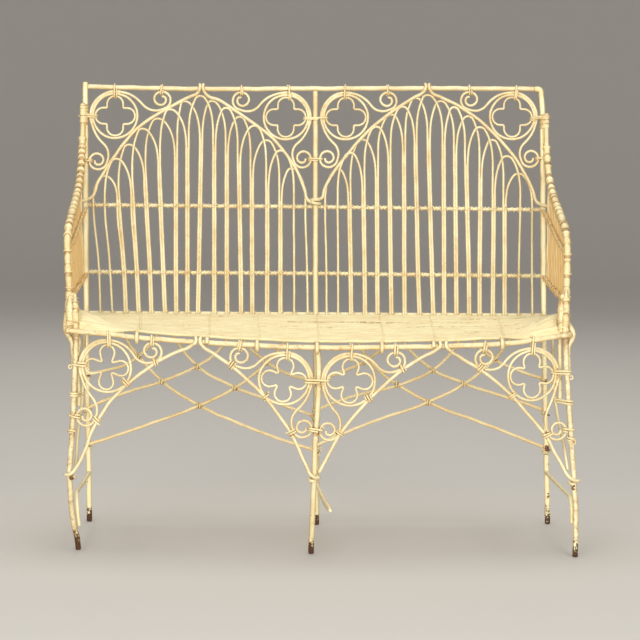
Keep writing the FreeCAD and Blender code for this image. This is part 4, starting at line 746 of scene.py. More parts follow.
# ---------------------------------------------------------------- lattice between the rear legs
LAT_N = 3.4
LATTICE = {"left": (LAT_LA, LAT_LB, LAT_LC, LAT_LD, LAT_LE, LAT_LF), "right": (LAT_RA, LAT_RB, LAT_RC, LAT_RD, LAT_RE, LAT_RF)}
LAT_END = POST_D / 2 + LATTICE_D / 2 + 0.3
for name, rods in LATTICE.items():
    for i, pts in enumerate(rods):
        f = 1.0 if i % 2 == 0 else -1.0
        (xa, za), (xb, zb) = pts[0], pts[-1]
        k = 1.0 if xb > xa else -1.0
        post = POST_L if xa < -400 else POST_R if xa > 400 else POST_C
        end = (post_x(post, za) - k * 2.0, post_y(post, za) - f * LAT_END, za - 1.0)
        P = [end] + [L3(x, z, f * LAT_N) for x, z in pts[1:]] + [L3(xb + k * 0.55 * (437.0 - zb), 437.0, f * LAT_N)]
        rod("%s_lattice" % name, smooth(P), LATTICE_D)

# ---------------------------------------------------------------- stretchers from rear to front legs
rod("left_stretcher", bent([(-473.6, 205.0, 106.0), (-477.0, -166.0, 113.0), (-470.5, -158.0, 46.0)], [26.0]), STRETCHER_D)
rod("right_stretcher", bent([(488.7, 204.0, 113.0), (502.8, -192.0, 112.5), (503.6, -206.0, 62.0)], [26.0]), STRETCHER_D)
rod("centre_stretcher", smooth([(-5.8, 176.0, 111.0), (3.0, 60.0, 103.0), (17.0, -95.0, 90.0), (27.0, -198.0, 85.0)]), STRETCHER_D)


# ---------------------------------------------------------------- old oil paint on iron
def painted(name, light, warm, extra=0.0, hollow=0.85):
    """Brushed cream paint: uneven tone, dirt round the ties, stains, chips down to rusty iron, and painted shade on the
    flanks, the undersides and in the crevices.
    """
    m = bpy.data.materials.new(name)
    m.use_nodes = True
    nt = m.node_tree
    nt.nodes.clear()
    new, link = nt.nodes.new, nt.links.new
    out = new("ShaderNodeOutputMaterial")
    bsdf = new("ShaderNodeBsdfPrincipled")
    link(bsdf.outputs["BSDF"], out.inputs["Surface"])
    co = new("ShaderNodeTexCoord").outputs["Object"]

    def attr(label):
        n = new("ShaderNodeAttribute")
        n.attribute_name = label
        return n.outputs["Fac"]

    def noise(scale, detail=3.0, rough=0.55, distort=0.0):
        n = new("ShaderNodeTexNoise")
        n.inputs["Scale"].default_value = scale
        n.inputs["Detail"].default_value = detail
        n.inputs["Roughness"].default_value = rough
        n.inputs["Distortion"].default_value = distort
        link(co, n.inputs["Vector"])
        return n.outputs["Fac"]

    def put(sock, v):
        if isinstance(v, (int, float)):
            sock.default_value = v
        else:
            link(v, sock)

    def calc(op, a, b=0.0, c=0.0, clamp=False):
        n = new("ShaderNodeMath")
        n.operation = op
        n.use_clamp = clamp
        put(n.inputs[0], a)
        put(n.inputs[1], b)
        put(n.inputs[2], c)
        return n.outputs[0]

    def span(v, lo, hi, a=0.0, b=1.0):
        n = new("ShaderNodeMapRange")
        n.interpolation_type = "SMOOTHSTEP"
        put(n.inputs["Value"], v)
        n.inputs["From Min"].default_value = lo
        n.inputs["From Max"].default_value = hi
        n.inputs["To Min"].default_value = a
        n.inputs["To Max"].default_value = b
        return n.outputs["Result"]

    def blend(f, a, b):
        n = new("ShaderNodeMix")
        n.data_type = "RGBA"
        put(n.inputs[0], f)
        for sock, v in ((n.inputs[6], a), (n.inputs[7], b)):
            if isinstance(v, tuple):
                sock.default_value = (*v, 1.0)
            else:
                link(v, sock)
        return n.outputs[2]

    grime, rust, tone = attr("grime"), attr("rust"), attr("tone")
    geo = new("ShaderNodeNewGeometry")
    sep = new("ShaderNodeSeparateXYZ")
    link(geo.outputs["Normal"], sep.inputs[0])
    # painted shade: faces that turn down lean to the warm colour and take a little of the brown
    under = span(calc("MULTIPLY", sep.outputs["Z"], -1.0), 0.05, 0.95)
    # painted shade: faces that turn sideways lean to the warm colour
    flank_shade = span(calc("ABSOLUTE", sep.outputs["X"]), 0.40, 1.0)
    # painted shade: crevices and contacts between rods are darkened by ambient occlusion
    crease = new("ShaderNodeAmbientOcclusion")
    crease.samples = 6
    crease.inputs["Distance"].default_value = 0.009
    crease = calc("SUBTRACT", 1.0, crease.outputs["AO"])

    broad = noise(21.0, 3.0)
    fine = noise(430.0, 4.0, 0.6)
    blot = noise(95.0, 4.0, 0.6, 0.4)
    speck = noise(260.0, 3.0, 0.5)

    # tone from rod to rod and along each rod, with painted shade leaning the flanks and undersides to the warm colour
    t = calc("ADD", span(broad, 0.38, 0.70, 0.0, 0.38), calc("MULTIPLY", tone, 0.20))
    t = calc("ADD", t, span(fine, 0.4, 0.75, 0.0, 0.18))
    t = calc("ADD", t, calc("MULTIPLY", flank_shade, 0.50))
    t = calc("ADD", t, calc("MULTIPLY", under, 0.55), clamp=True)
    col = blend(t, light, warm)
    # pinkish-brown stains that follow the brush marks
    stain = calc("MULTIPLY", span(blot, 0.56, 0.74), span(broad, 0.42, 0.62, 0.12, 0.5))
    col = blend(stain, col, (0.52, 0.30, 0.15))
    # dirt round the ties and brown blotches, with painted shade added on the undersides and in the crevices
    d = calc("ADD", calc("ADD", grime, extra), calc("MULTIPLY", calc("SUBTRACT", blot, 0.5), 2.1))
    d = calc("ADD", d, calc("MULTIPLY", under, 0.18))
    d = calc("ADD", d, span(crease, 0.28, 0.90, 0.0, hollow))
    dirt_and_shade = span(d, 0.42, 1.15, 0.0, 0.72)
    col = blend(dirt_and_shade, col, (0.37, 0.195, 0.065))
    col = blend(span(d, 1.10, 1.85, 0.0, 0.8), col, (0.175, 0.075, 0.022))
    # chips and rust
    c = calc("ADD", rust, calc("MULTIPLY", calc("SUBTRACT", speck, 0.5), 1.3))
    bare = span(c, 0.50, 0.66)
    spot = span(calc("ADD", speck, calc("MULTIPLY", calc("ADD", grime, extra), 0.10)), 0.735, 0.775)
    bare = calc("MAXIMUM", bare, spot)
    iron = blend(span(fine, 0.35, 0.68), (0.085, 0.036, 0.015), (0.27, 0.115, 0.038))
    up = new("ShaderNodeSeparateXYZ")
    link(co, up.inputs[0])
    iron = blend(span(up.outputs["Z"], 0.012, 0.075, 0.85, 0.0), iron, (0.058, 0.023, 0.006))
    col = blend(bare, col, iron)
    link(col, bsdf.inputs["Base Color"])

    rough = calc("ADD", span(fine, 0.3, 0.7, 0.36, 0.50), calc("MULTIPLY", calc("MAXIMUM", bare, calc("MULTIPLY", dirt_and_shade, 0.6)), 0.38))
    link(rough, bsdf.inputs["Roughness"])
    bsdf.inputs["Specular IOR Level"].default_value = 0.42

    h = calc("ADD", calc("MULTIPLY", blot, 0.6), calc("MULTIPLY", fine, 0.35))
    h = calc("SUBTRACT", h, calc("MULTIPLY", bare, 0.55))
    bump = new("ShaderNodeBump")
    bump.inputs["Strength"].default_value = 0.55
    bump.inputs["Distance"].default_value = 0.0007
    link(h, bump.inputs["Height"])
    link(bump.outputs["Normal"], bsdf.inputs["Normal"])
    return m


# ---------------------------------------------------------------- meshes of painted rod and wire
SHIFT = np.array((-8.3, 17.2, 0.0))    # the row frame's origin, in mm
RNG = np.random.default_rng(20261)


def sample(path, step=7.0, turn=math.radians(11.0)):
    """Points along a path of straight runs and arcs, closer together in the bends."""
    out = [path[0][1]]
    for s in path:
        if s[0] == "L":
            k = max(1, int(math.ceil(seg_length(s) / step)))
            new = [lerp(s[1], s[2], (i + 1.0) / k) for i in range(k)]
        else:
            c, n, a = arc_circle(s)
            w = sub(s[1], c)
            k = max(1, int(math.ceil(max(a / turn, a * norm(w) / step))))
            new = [add(c, rot(w, n, a * (i + 1.0) / k)) for i in range(k)]
        for p in new:
            if norm(sub(p, out[-1])) > 0.25:
                out.append(p)
    return np.array(out)


def unit_rows(a):
    return a / np.maximum(np.linalg.norm(a, axis=1, keepdims=True), 1e-9)


def turning_frames(P, closed):
    """Directions along a line of points, and a pair of normals that turn with it without twisting."""
    if closed:
        T = unit_rows(np.roll(P, -1, 0) - np.roll(P, 1, 0))
    else:
        T = np.empty_like(P)
        T[1:-1] = P[2:] - P[:-2]
        T[0], T[-1] = P[1] - P[0], P[-1] - P[-2]
        T = unit_rows(T)
    n = np.cross(T[0], (0.0, 0.0, 1.0) if abs(T[0][2]) < 0.9 else (1.0, 0.0, 0.0))
    N = np.empty_like(P)
    for i in range(len(P)):
        n = n - T[i] * (n @ T[i])
        n = n / math.sqrt(n @ n)
        N[i] = n
    Bn = np.cross(T, N)
    if closed:
        m = N[-1] - T[0] * (N[-1] @ T[0])
        twist = math.atan2(m @ Bn[0], m @ N[0])
        a = -twist * np.arange(len(P)) / len(P)
        c, s = np.cos(a)[:, None], np.sin(a)[:, None]
        N, Bn = N * c + Bn * s, Bn * c - N * s
    return T, N, Bn


def run_of(P, closed=False):
    d = np.linalg.norm(np.diff(P, axis=0), axis=1)
    return np.concatenate([[0.0], np.cumsum(d)])


def waves(s, lengths, closed_length=None):
    """Gentle seeded unevenness along a length, of about unit size."""
    out = np.zeros_like(s)
    for L in lengths:
        if closed_length:
            L = closed_length / max(1, round(closed_length / L))
        out += np.sin(2 * math.pi * s / L * (1 if closed_length else RNG.uniform(0.8, 1.25)) + RNG.uniform(0, 6.28)) * RNG.uniform(0.6, 1.2)
    return out / math.sqrt(len(lengths))


class Skin:
    """One piece: many closed tubes in one mesh, with the dirt, the painted shade and the rust that each place has."""

    def __init__(self):
        self.v, self.f4, self.f3, self.mid, self.tone, self.soil, self.count = [], [], [], [], [], [], 0

    def tube(self, P, r, closed=False, sides=12, wander=0.0, lumps=0.02, cap=0.35, tone=None, soil=0.0):
        P = np.array(P, float)
        r = np.full(len(P), float(r)) if np.isscalar(r) else np.array(r, float)
        if not closed:
            # bevelled ends, inside the rod's own length
            d0, d1 = unit_rows(P[:1] - P[1:2])[0], unit_rows(P[-1:] - P[-2:-1])[0]
            L = run_of(P)
            keep = (L > r[0] * cap * 1.6) & (L < L[-1] - r[-1] * cap * 1.6)
            keep[0] = keep[-1] = False
            core, rc = P[keep], r[keep]
            a = [P[0], P[0] - d0 * r[0] * cap * 0.3, P[0] - d0 * r[0] * cap]
            b = [P[-1] - d1 * r[-1] * cap, P[-1] - d1 * r[-1] * cap * 0.3, P[-1]]
            P = np.vstack([a, core, b]) if len(core) else np.vstack([a, b])
            r = np.concatenate([[r[0] * 0.66, r[0] * 0.9, r[0]], rc, [r[-1], r[-1] * 0.9, r[-1] * 0.66]])
        n = len(P)
        T, N, Bn = turning_frames(P, closed)
        s = run_of(P)
        total = s[-1] + (np.linalg.norm(P[0] - P[-1]) if closed else 0.0)
        if wander > 0:
            fade = np.ones(n) if closed else np.clip(np.minimum(s, total - s) / 30.0, 0, 1)
            P = P + N * (waves(s, (150.0, 83.0, 47.0), total if closed else None) * wander * fade)[:, None]
            P = P + Bn * (waves(s, (170.0, 91.0, 52.0), total if closed else None) * wander * fade)[:, None]
        th = np.arange(sides) * 2 * math.pi / sides
        swell = 1.0 + lumps * waves(s, (61.0, 37.0, 23.0), total if closed else None) if lumps else np.ones(n)
        lean1 = 0.55 * lumps * waves(s, (70.0, 43.0, 19.0), total if closed else None) if lumps else np.zeros(n)
        lean2 = 0.55 * lumps * waves(s, (66.0, 39.0, 17.0), total if closed else None) if lumps else np.zeros(n)
        rr = (r * swell)[:, None] * (1.0 + lean1[:, None] * np.cos(2 * th)[None] + lean2[:, None] * np.sin(3 * th)[None])
        self.loft(P, N, Bn, rr, rr, closed, tone, np.full(rr.shape, soil))

    def loft(self, P, N, Bn, ra, rb, closed=False, tone=None, soil=None):
        """Rings round the points P, with radii ra along N and rb along Bn at each angle."""
        n, sides = ra.shape
        th = np.arange(sides) * 2 * math.pi / sides
        ringv = P[:, None, :] + (ra * np.cos(th)[None])[:, :, None] * N[:, None, :] + (rb * np.sin(th)[None])[:, :, None] * Bn[:, None, :]
        base = self.count
        self.soil.append(np.zeros(n * sides) if soil is None else soil.ravel())
        self.v.append(ringv.reshape(-1, 3))
        i = np.arange(n if closed else n - 1)
        j = (i + 1) % n
        k = np.arange(sides)
        k2 = (k + 1) % sides
        q = np.stack([(base + i[:, None] * sides + k[None]), (base + i[:, None] * sides + k2[None]),
                      (base + j[:, None] * sides + k2[None]), (base + j[:, None] * sides + k[None])], -1).reshape(-1, 4)
        self.f4.append(q)
        self.mid.append(np.repeat(P, sides, 0))
        self.count += n * sides
        if not closed:
            self.soil.append(np.zeros(2))
            self.v.append(np.array([P[0], P[-1]]))
            self.mid.append(np.array([P[0], P[-1]]))
            c0, c1 = self.count, self.count + 1
            self.count += 2
            first, last = base + k, base + (n - 1) * sides + k
            self.f3.append(np.stack([np.full(sides, c0), first[k2], first], -1))
            self.f3.append(np.stack([np.full(sides, c1), last, last[k2]], -1))
        t = RNG.uniform(0.0, 1.0) if tone is None else tone
        self.tone.append(np.full(n * sides + (0 if closed else 2), t))

    def make(self, name, node, slot, material):
        v = np.vstack(self.v)
        mid = np.vstack(self.mid)
        q = np.vstack(self.f4)
        t = np.vstack(self.f3) if self.f3 else np.zeros((0, 3), int)
        mesh = bpy.data.meshes.new(name)
        mesh.vertices.add(len(v))
        mesh.vertices.foreach_set("co", ((v + SHIFT) / 1000.0).astype(np.float32).ravel())
        loops = np.concatenate([q.ravel(), t.ravel()]).astype(np.int32)
        mesh.loops.add(len(loops))
        mesh.loops.foreach_set("vertex_index", loops)
        total = np.concatenate([np.full(len(q), 4), np.full(len(t), 3)]).astype(np.int32)
        start = np.concatenate([[0], np.cumsum(total)[:-1]]).astype(np.int32)
        mesh.polygons.add(len(total))
        mesh.polygons.foreach_set("loop_start", start)
        mesh.polygons.foreach_set("loop_total", total)
        mesh.polygons.foreach_set("use_smooth", np.ones(len(total), bool))
        mesh.update(calc_edges=True)
        mesh.validate()
        for label, values in (("grime", np.maximum(field(GRIME_AND_SHADE, mid), np.concatenate(self.soil))), ("rust", np.maximum(field(RUST, v), feet(node, v))), ("tone", np.concatenate(self.tone))):
            layer = mesh.attributes.new(label, "FLOAT", "POINT")
            layer.data.foreach_set("value", values.astype(np.float32))
        mesh.materials.append(material)
        obj = bpy.data.objects.new(name, mesh)
        bpy.context.scene.collection.objects.link(obj)
        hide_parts(node)
        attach(obj, "root")
        return obj


GRIME_AND_SHADE = []      # (x, y, z, reach, strength): dirt round ties and crossings, with painted shadow just below some ties and wires, mm
RUST = []       # the same for bare and rusty places


def field(places, pts):
    """The strongest influence of a list of places on each point, 0 to 1."""
    out = np.zeros(len(pts))
    if not places:
        return out
    A5 = np.array(places, float)
    order = np.argsort(pts[:, 0], kind="stable")
    for c in range(0, len(pts), 4000):
        idx = order[c:c + 4000]
        p = pts[idx]
        lo, hi = p[:, 0].min(), p[:, 0].max()
        near_by = A5[(A5[:, 0] + A5[:, 3] >= lo) & (A5[:, 0] - A5[:, 3] <= hi)]
        if not len(near_by):
            continue
        d = np.sqrt(((p[:, None, :] - near_by[None, :, :3]) ** 2).sum(-1)) / near_by[None, :, 3]
        out[idx] = (np.clip(1.0 - d, 0, 1) ** 1.2 * near_by[None, :, 4]).max(1)
    return out


# ---------------------------------------------------------------- where the ties are, and how each bundle is bound
TIES = []


def bundle(node, lo, hi, across, half, d=WIRE_D):
    """A bundle that reaches from lo to hi; half is its half width along across."""
    u = unit(sub(hi, lo))
    v = unit(sub(across, mul(u, dot(u, across))))
    TIES.append((node, lerp(lo, hi, 0.5), u, v, norm(sub(hi, lo)) / 2, half))


# top rail with the scrolls and rings that hang from it
for i, (ring_x, vol_x) in enumerate(((-428.8, -330.1), (-58.2, -159.8), (61.0, 152.0), (426.0, 327.3))):
    zt = along(TOP_RAIL, ring_x) + TOP_RAIL_D / 2
    c = BACK_RINGS[i]
    zl = c[1] + math.sqrt(BACK_RING_R ** 2 - (ring_x - c[0]) ** 2) - RING_D / 2 - FOIL_D
    bundle("top_rail_ties", B(ring_x, zl, 1.5), B(ring_x, zt, 0.0), Y1, TOP_RAIL_D / 2)
    zt = along(TOP_RAIL, vol_x) + TOP_RAIL_D / 2
    zl = BACK_VOL_RAIL[i][1] + RAIL_SPIRAL[2] - RING_D / 2 - 1.0
    bundle("top_rail_ties", B(vol_x, zl, 1.5), B(vol_x, zt, 0.0), Y1, TOP_RAIL_D / 2)

# rear posts with the rings and scrolls beside them
for post, s, ring_i, z_ring, z_vol in ((POST_L, -1, 0, 867.0, 772.0), (POST_R, 1, 3, 869.5, 784.0)):
    for z, xin in ((z_ring, BACK_RINGS[ring_i][0] + s * (BACK_RING_R - RING_D / 2 - FOIL_D)), (z_vol, BACK_VOL_POST[ring_i][0] + s * (POST_SPIRAL[2] - RING_D / 2 - 1.0))):
        px = post_x(post, z) + s * (POST_D / 2 + (7.0 if z > 800 else 0.0))
        bundle("back_post_ties", B(xin, z, 1.5), B(px, z, 0.0), Y1, POST_D / 2)
for z, a, b in ((866.0, BACK_RINGS[1][0] + BACK_RING_R - RING_D / 2 - FOIL_D, BACK_RINGS[2][0] - BACK_RING_R + RING_D / 2 + FOIL_D),
                (779.0, BACK_VOL_POST[1][0] + POST_SPIRAL[2] - RING_D / 2 - 1.0, BACK_VOL_POST[2][0] - POST_SPIRAL[2] + RING_D / 2 + 1.0)):
    bundle("back_post_ties", B(a, z, 1.5), B(b, z, 1.5), Y1, POST_D / 2 + 0.8)

# lancet rods on the two rails of the back and on the rear rail of the seat
DIAG = (1.0, 0.0, 1.0)
for U, W, S in ((BARS_L_U, BARS_L_W, BARS_L_S), (BARS_R_U, BARS_R_W, BARS_R_S)):
    for i in range(17):
        pair = 2 <= i <= 14
        half = (LANCET_D / 2 + (LANCET_PAIR if pair else 0.0) + MID_RAIL_D / 2) / math.sqrt(2)
        layer = 0.0 if i % 2 == 0 else LANCET_LAYER
        for x, z in ((U[i], rail_z(UPPER_Z, U[i])), (W[i], rail_z(LOWER_Z, W[i]))):
            bundle("back_rail_ties", B(x, z, -6.1 - MID_RAIL_D / 2), B(x, z, layer + LANCET_D / 2), DIAG, half)
        bundle("seat_rail_ties", (S[i], 197.3 + SEAT_FRAME_D / 2, 449.4), (S[i], 189.5 - layer - LANCET_D / 2, 449.4), DIAG, half + 0.7)

# front rail with the scrolls and rings that hang from it
for i, (ring_x, vol_x) in enumerate(((-412.8, -326.3), (-60.0, -153.5), (64.5, 150.9), (424.0, 327.5))):
    c = APRON_RINGS[i]
    zt = along(FRONT_RAIL, ring_x) + FRONT_RAIL_D / 2
    zl = c[1] + math.sqrt(APRON_RING_R ** 2 - (ring_x - c[0]) ** 2) - RING_D / 2 - FOIL_D
    bundle("front_rail_ties", A(ring_x, zl), A(ring_x, zt), Y1, FRONT_RAIL_D / 2)
    zt = along(FRONT_RAIL, vol_x) + FRONT_RAIL_D / 2
    zl = APRON_VOL_RAIL[i][1] + RAIL_SPIRAL[2] - RING_D / 2 - 1.0
    bundle("front_rail_ties", A(vol_x, zl), A(vol_x, zt), Y1, FRONT_RAIL_D / 2)

# scrolls, ribs and rings of the apron
RIBS_A = {0: APRON_RIB_1, 1: APRON_RIB_2, 2: APRON_RIB_3, 3: APRON_RIB_4}
for j, (x, z) in enumerate(APRON_RIB_TIES):
    rib = RIBS_A[j // 3]
    k = min(range(len(rib) - 1), key=lambda i: math.hypot((rib[i][0] + rib[i + 1][0]) / 2 - x, (rib[i][1] + rib[i + 1][1]) / 2 - z))
    dx, dz = rib[k + 1][0] - rib[k][0], rib[k + 1][1] - rib[k][1]
    L = math.hypot(dx, dz)
    ux, uz = -dz / L, dx / L
    if uz < 0:
        ux, uz = -ux, -uz
    bundle("apron_rib_ties", A(x - ux * 3.6, z - uz * 3.6), A(x + ux * 8.6, z + uz * 8.6), Y1, RIB_D / 2)

# front legs with the arm ends, rings and scrolls
for leg, tab, tail, z_arm, z_tail in ((LEG_L, ARM_X_L, ARM_TAIL_L, 503.0, 316.0), (LEG_R, ARM_X_R, ARM_TAIL_R, 506.0, 305.3)):
    for p, q, r in ((near(leg, z_arm), (along(tab, z_arm), -188.5, z_arm), ARM_D / 2), (near(leg, z_tail), near(tail, z_tail), TAIL_D / 2)):
        u = unit(sub(q, p))
        bundle("leg_ties", sub(p, mul(u, LEG_D / 2)), add(q, mul(u, r)), X1, LEG_D / 2)
for i, leg, z_ring, z_end in ((0, LEG_L, 375.7, 242.4), (3, LEG_R, 365.1, 232.2)):
    s = -1 if i == 0 else 1
    p = near(leg, z_ring)
    q = A(APRON_RINGS[i][0] + s * (APRON_RING_R - RING_D / 2 - FOIL_D), z_ring)
    u = unit(sub(p, q))
    bundle("leg_ties", q, add(p, mul(u, LEG_D / 2)), Y1, LEG_D / 2)
    z = APRON_VOL_POST[i][1]
    p = near(leg, z)
    q = A(APRON_VOL_POST[i][0] + s * (POST_SPIRAL[2] - RING_D / 2 - 1.0), z)
    u = unit(sub(p, q))
    bundle("leg_ties", q, add(p, mul(u, LEG_D / 2)), Y1, LEG_D / 2)
    p = near(leg, z_end)
    bundle("leg_ties", sub(p, mul(X1, LEG_D / 2)), add(p, mul(X1, LEG_D / 2)), Y1, LEG_D / 2)
for a, b in ((APRON_RINGS[1][0] + APRON_RING_R - RING_D / 2 - FOIL_D, APRON_RINGS[2][0] - APRON_RING_R + RING_D / 2 + FOIL_D),):
    bundle("leg_ties", A(a, 352.0), A(b, 352.0), Y1, LEG_D / 2 + 0.5)
bundle("leg_ties", A(APRON_VOL_POST[1][0] + 12.9, 254.0), A(APRON_VOL_POST[2][0] - 12.9, 254.0), Y1, LEG_D / 2 + 0.5)

# lattice crossings, and its ends on the rear legs
for x, z in LAT_TIES:
    bundle("lattice_ties", L3(x, z, -LAT_N - LATTICE_D / 2), L3(x, z, LAT_N + LATTICE_D / 2), Z1, LATTICE_D / 2 + 0.8)

# side bars on the side rails
for name, s, tab in (("left", -1, ARM_X_L), ("right", 1, ARM_X_R)):
    for i in range(SIDE_BARS):
        y = 168.0 - 29.0 * i
        for z, xr in ((side_low(y), run_x(SIDE_RUN[name][0], y)), (side_up(y), run_x(SIDE_RUN[name][1], y))):
            bundle("side_rail_ties", (xr - s * MID_RAIL_D / 2, y, z), (xr + s * 8.6, y, z), (0.0, 1.0, 1.0), 4.4)


# ---------------------------------------------------------------- wire
def stadium_point(f, h, b):
    """Point of a closed stadium line at share f of its length, from the middle of the +b side."""
    per = 4 * h + 2 * math.pi * b
    d = (f % 1.0) * per
    if d < h:
        return d, b
    d -= h
    if d < math.pi * b:
        a = math.pi / 2 - d / b
        return h + b * math.cos(a), b * math.sin(a)
    d -= math.pi * b
    if d < 2 * h:
        return h - d, -b
    d -= 2 * h
    if d < math.pi * b:
        a = -math.pi / 2 - d / b
        return -h + b * math.cos(a), b * math.sin(a)
    d -= math.pi * b
    return -h + d, b


def coil(skin, P, u, v, a, b, turns, r, pitch, phase=0.5, tail=4.0, lean=0.0, sides=8, tone=None):
    """Wire wound round a bundle: half length a along u and half width b along v, both of the bundle itself."""
    P, u, v = np.array(P), np.array(u), np.array(v)
    w = np.cross(u, v)
    a, b = a + r * 0.94, b + r * 0.94
    h = max(a - b, 0.0)
    b = min(a, b)
    per = 4 * h + 2 * math.pi * b
    k = max(16, int(per / 2.4))
    n = int(round(turns * k))
    wob = RNG.uniform(0, 6.28, 3)
    pts = []
    for i in range(n + 1):
        q = i / k
        x, y = stadium_point(phase + q, h, b)
        g = 1.0 + 0.02 * math.sin(5.0 * q + wob[0])
        pts.append(P + u * (x * g) + v * (y * g) + w * ((q - turns / 2) * pitch + lean * x / max(a, 1.0) + 0.25 * math.sin(3.1 * q + wob[1])))
    pts = np.array(pts)
    for end, nb in ((0, 1), (-1, -2)):
        d = pts[end] - pts[nb]
        d = d / np.linalg.norm(d)
        out = pts[end] - P
        out = out - w * (out @ w)
        out = out / max(np.linalg.norm(out), 1e-6)
        ext = [pts[end] + d * (tail * t) + out * (0.9 * tail * t * t) for t in (0.35, 0.7, 1.0)]
        pts = np.vstack([np.array(ext[::-1]), pts]) if end == 0 else np.vstack([pts, np.array(ext)])
    skin.tube(pts, r, sides=sides, lumps=0.05, cap=0.8, tone=tone)


def helix(skin, line, radius, r, turns_at, phase=0.0, sides=7, step=None):
    """Wire wound along a sampled centreline; turns_at gives the turns made up to each distance."""
    s = run_of(line)
    T, N, Bn = turning_frames(line, False)
    total_turns = turns_at[-1]
    k = max(24, int(total_turns * 14))
    # positions at even steps of winding and of length together
    grid = np.linspace(0, s[-1], 2001)
    tg = np.interp(grid, s, turns_at)
    load = tg / max(total_turns, 1e-6) * 0.75 + grid / s[-1] * 0.25
    at_s = np.interp(np.linspace(0, 1, k), load, grid)
    th = 2 * math.pi * np.interp(at_s, s, turns_at) + phase
    mix = lambda a: np.stack([np.interp(at_s, s, a[:, i]) for i in range(3)], 1)
    rad = radius(at_s) if callable(radius) else radius
    rad = np.broadcast_to(rad, at_s.shape)
    P = mix(line) + (np.cos(th) * rad)[:, None] * unit_rows(mix(N)) + (np.sin(th) * rad)[:, None] * unit_rows(mix(Bn))
    skin.tube(P, r, sides=sides, lumps=0.06, cap=0.8, tone=0.0)


def beaded(skin, line, creases, core, swell, slant=3.5, sides=20, ends=(1.0, 1.0), power=0.45, lip=5.0, shade=(0.8, 1.4), base=0.22, taper=0.6, hold=0.35, slope=1.4, rim=0.0):
    """A rod wound over with wire and thickly painted: fat beads, with a crease darkened by painted shade at each of the
    given distances.
    """
    s = run_of(line)
    k = max(8, int((s[-1]) / 1.25))
    at = np.linspace(0, s[-1], k)
    C = np.stack([np.interp(at, s, line[:, i]) for i in range(3)], 1)
    T, N, Bn = turning_frames(C, False)
    th = np.arange(sides) * 2 * math.pi / sides
    front = np.arctan2(-Bn[:, 1], -N[:, 1])
    cuts = np.array(sorted(creases), float)
    tilt = slant * RNG.uniform(0.55, 1.35, len(cuts)) * np.where(RNG.uniform(size=len(cuts)) < 0.82, 1.0, -0.7)
    fat = RNG.uniform(0.70, 1.2, len(cuts) + 1)
    deep = RNG.uniform(0.72, 1.0, len(cuts))
    cosf = np.cos(th[None] - front[:, None])
    dark = np.zeros((k, sides))
    edges = [at[:, None] - (c - tl * cosf) for c, tl in zip(cuts, tilt)]     # distance past each slanted crease
    inner = np.stack(edges + [np.full((k, sides), -1e6)], 0)
    idx = (inner >= 0).sum(0)                                                # number of creases passed
    # painted shade in each crease; on the far bead it reaches past the part that the near bead's rim hides
    for e, k0, c in zip(edges, deep, cuts):
        far = 1.0 + (shade[0] - 1.0) * min(1.0, max(0.0, (np.interp(c, at, np.abs(T[:, 1])) - 0.35) / 0.45)) if shade[0] > 4.0 else shade[0]
        dark = np.maximum(dark, k0 * np.clip(np.where(e < 0, 1.35 - (-e - far) / shade[1], 1.9 - e / 0.8), 0, 1.35))
    widths = np.diff(np.concatenate([[0.0], cuts, [s[-1]]]))
    before = np.take_along_axis(np.concatenate([np.broadcast_to(at[:, None], (1, k, sides)), np.stack(edges, 0)], 0), idx[None], 0)[0]
    t = np.clip(before / np.maximum(widths[idx], 1.0), 0, 1)
    rise = np.clip(np.minimum(before, lip) / lip, 0.0, 1) ** power
    fall = 1.0 - taper * np.clip((t - hold) / (1.0 - hold), 0, 1) ** slope
    lump = 1.0 + 0.10 * waves(at, (17.0, 9.0, 5.2))[:, None] + 0.07 * waves(at, (13.0, 7.0))[:, None] * np.cos(2 * th)[None]
    r = core + swell * fat[idx] * rise * fall * lump + rim * np.exp(-(before / 3.4) ** 2) * np.clip(before / 1.2, 0, 1)
    ease_in = np.clip(at / 3.0, 0, 1) ** 0.5 * (1 - ends[0]) + ends[0]
    ease_out = np.clip((s[-1] - at) / 3.0, 0, 1) ** 0.5 * (1 - ends[1]) + ends[1]
    r = r * (ease_in * ease_out)[:, None]
    soil = np.maximum(dark, base)
    skin.loft(C, N, Bn, r, r, tone=RNG.uniform(0.4, 0.9), soil=soil)


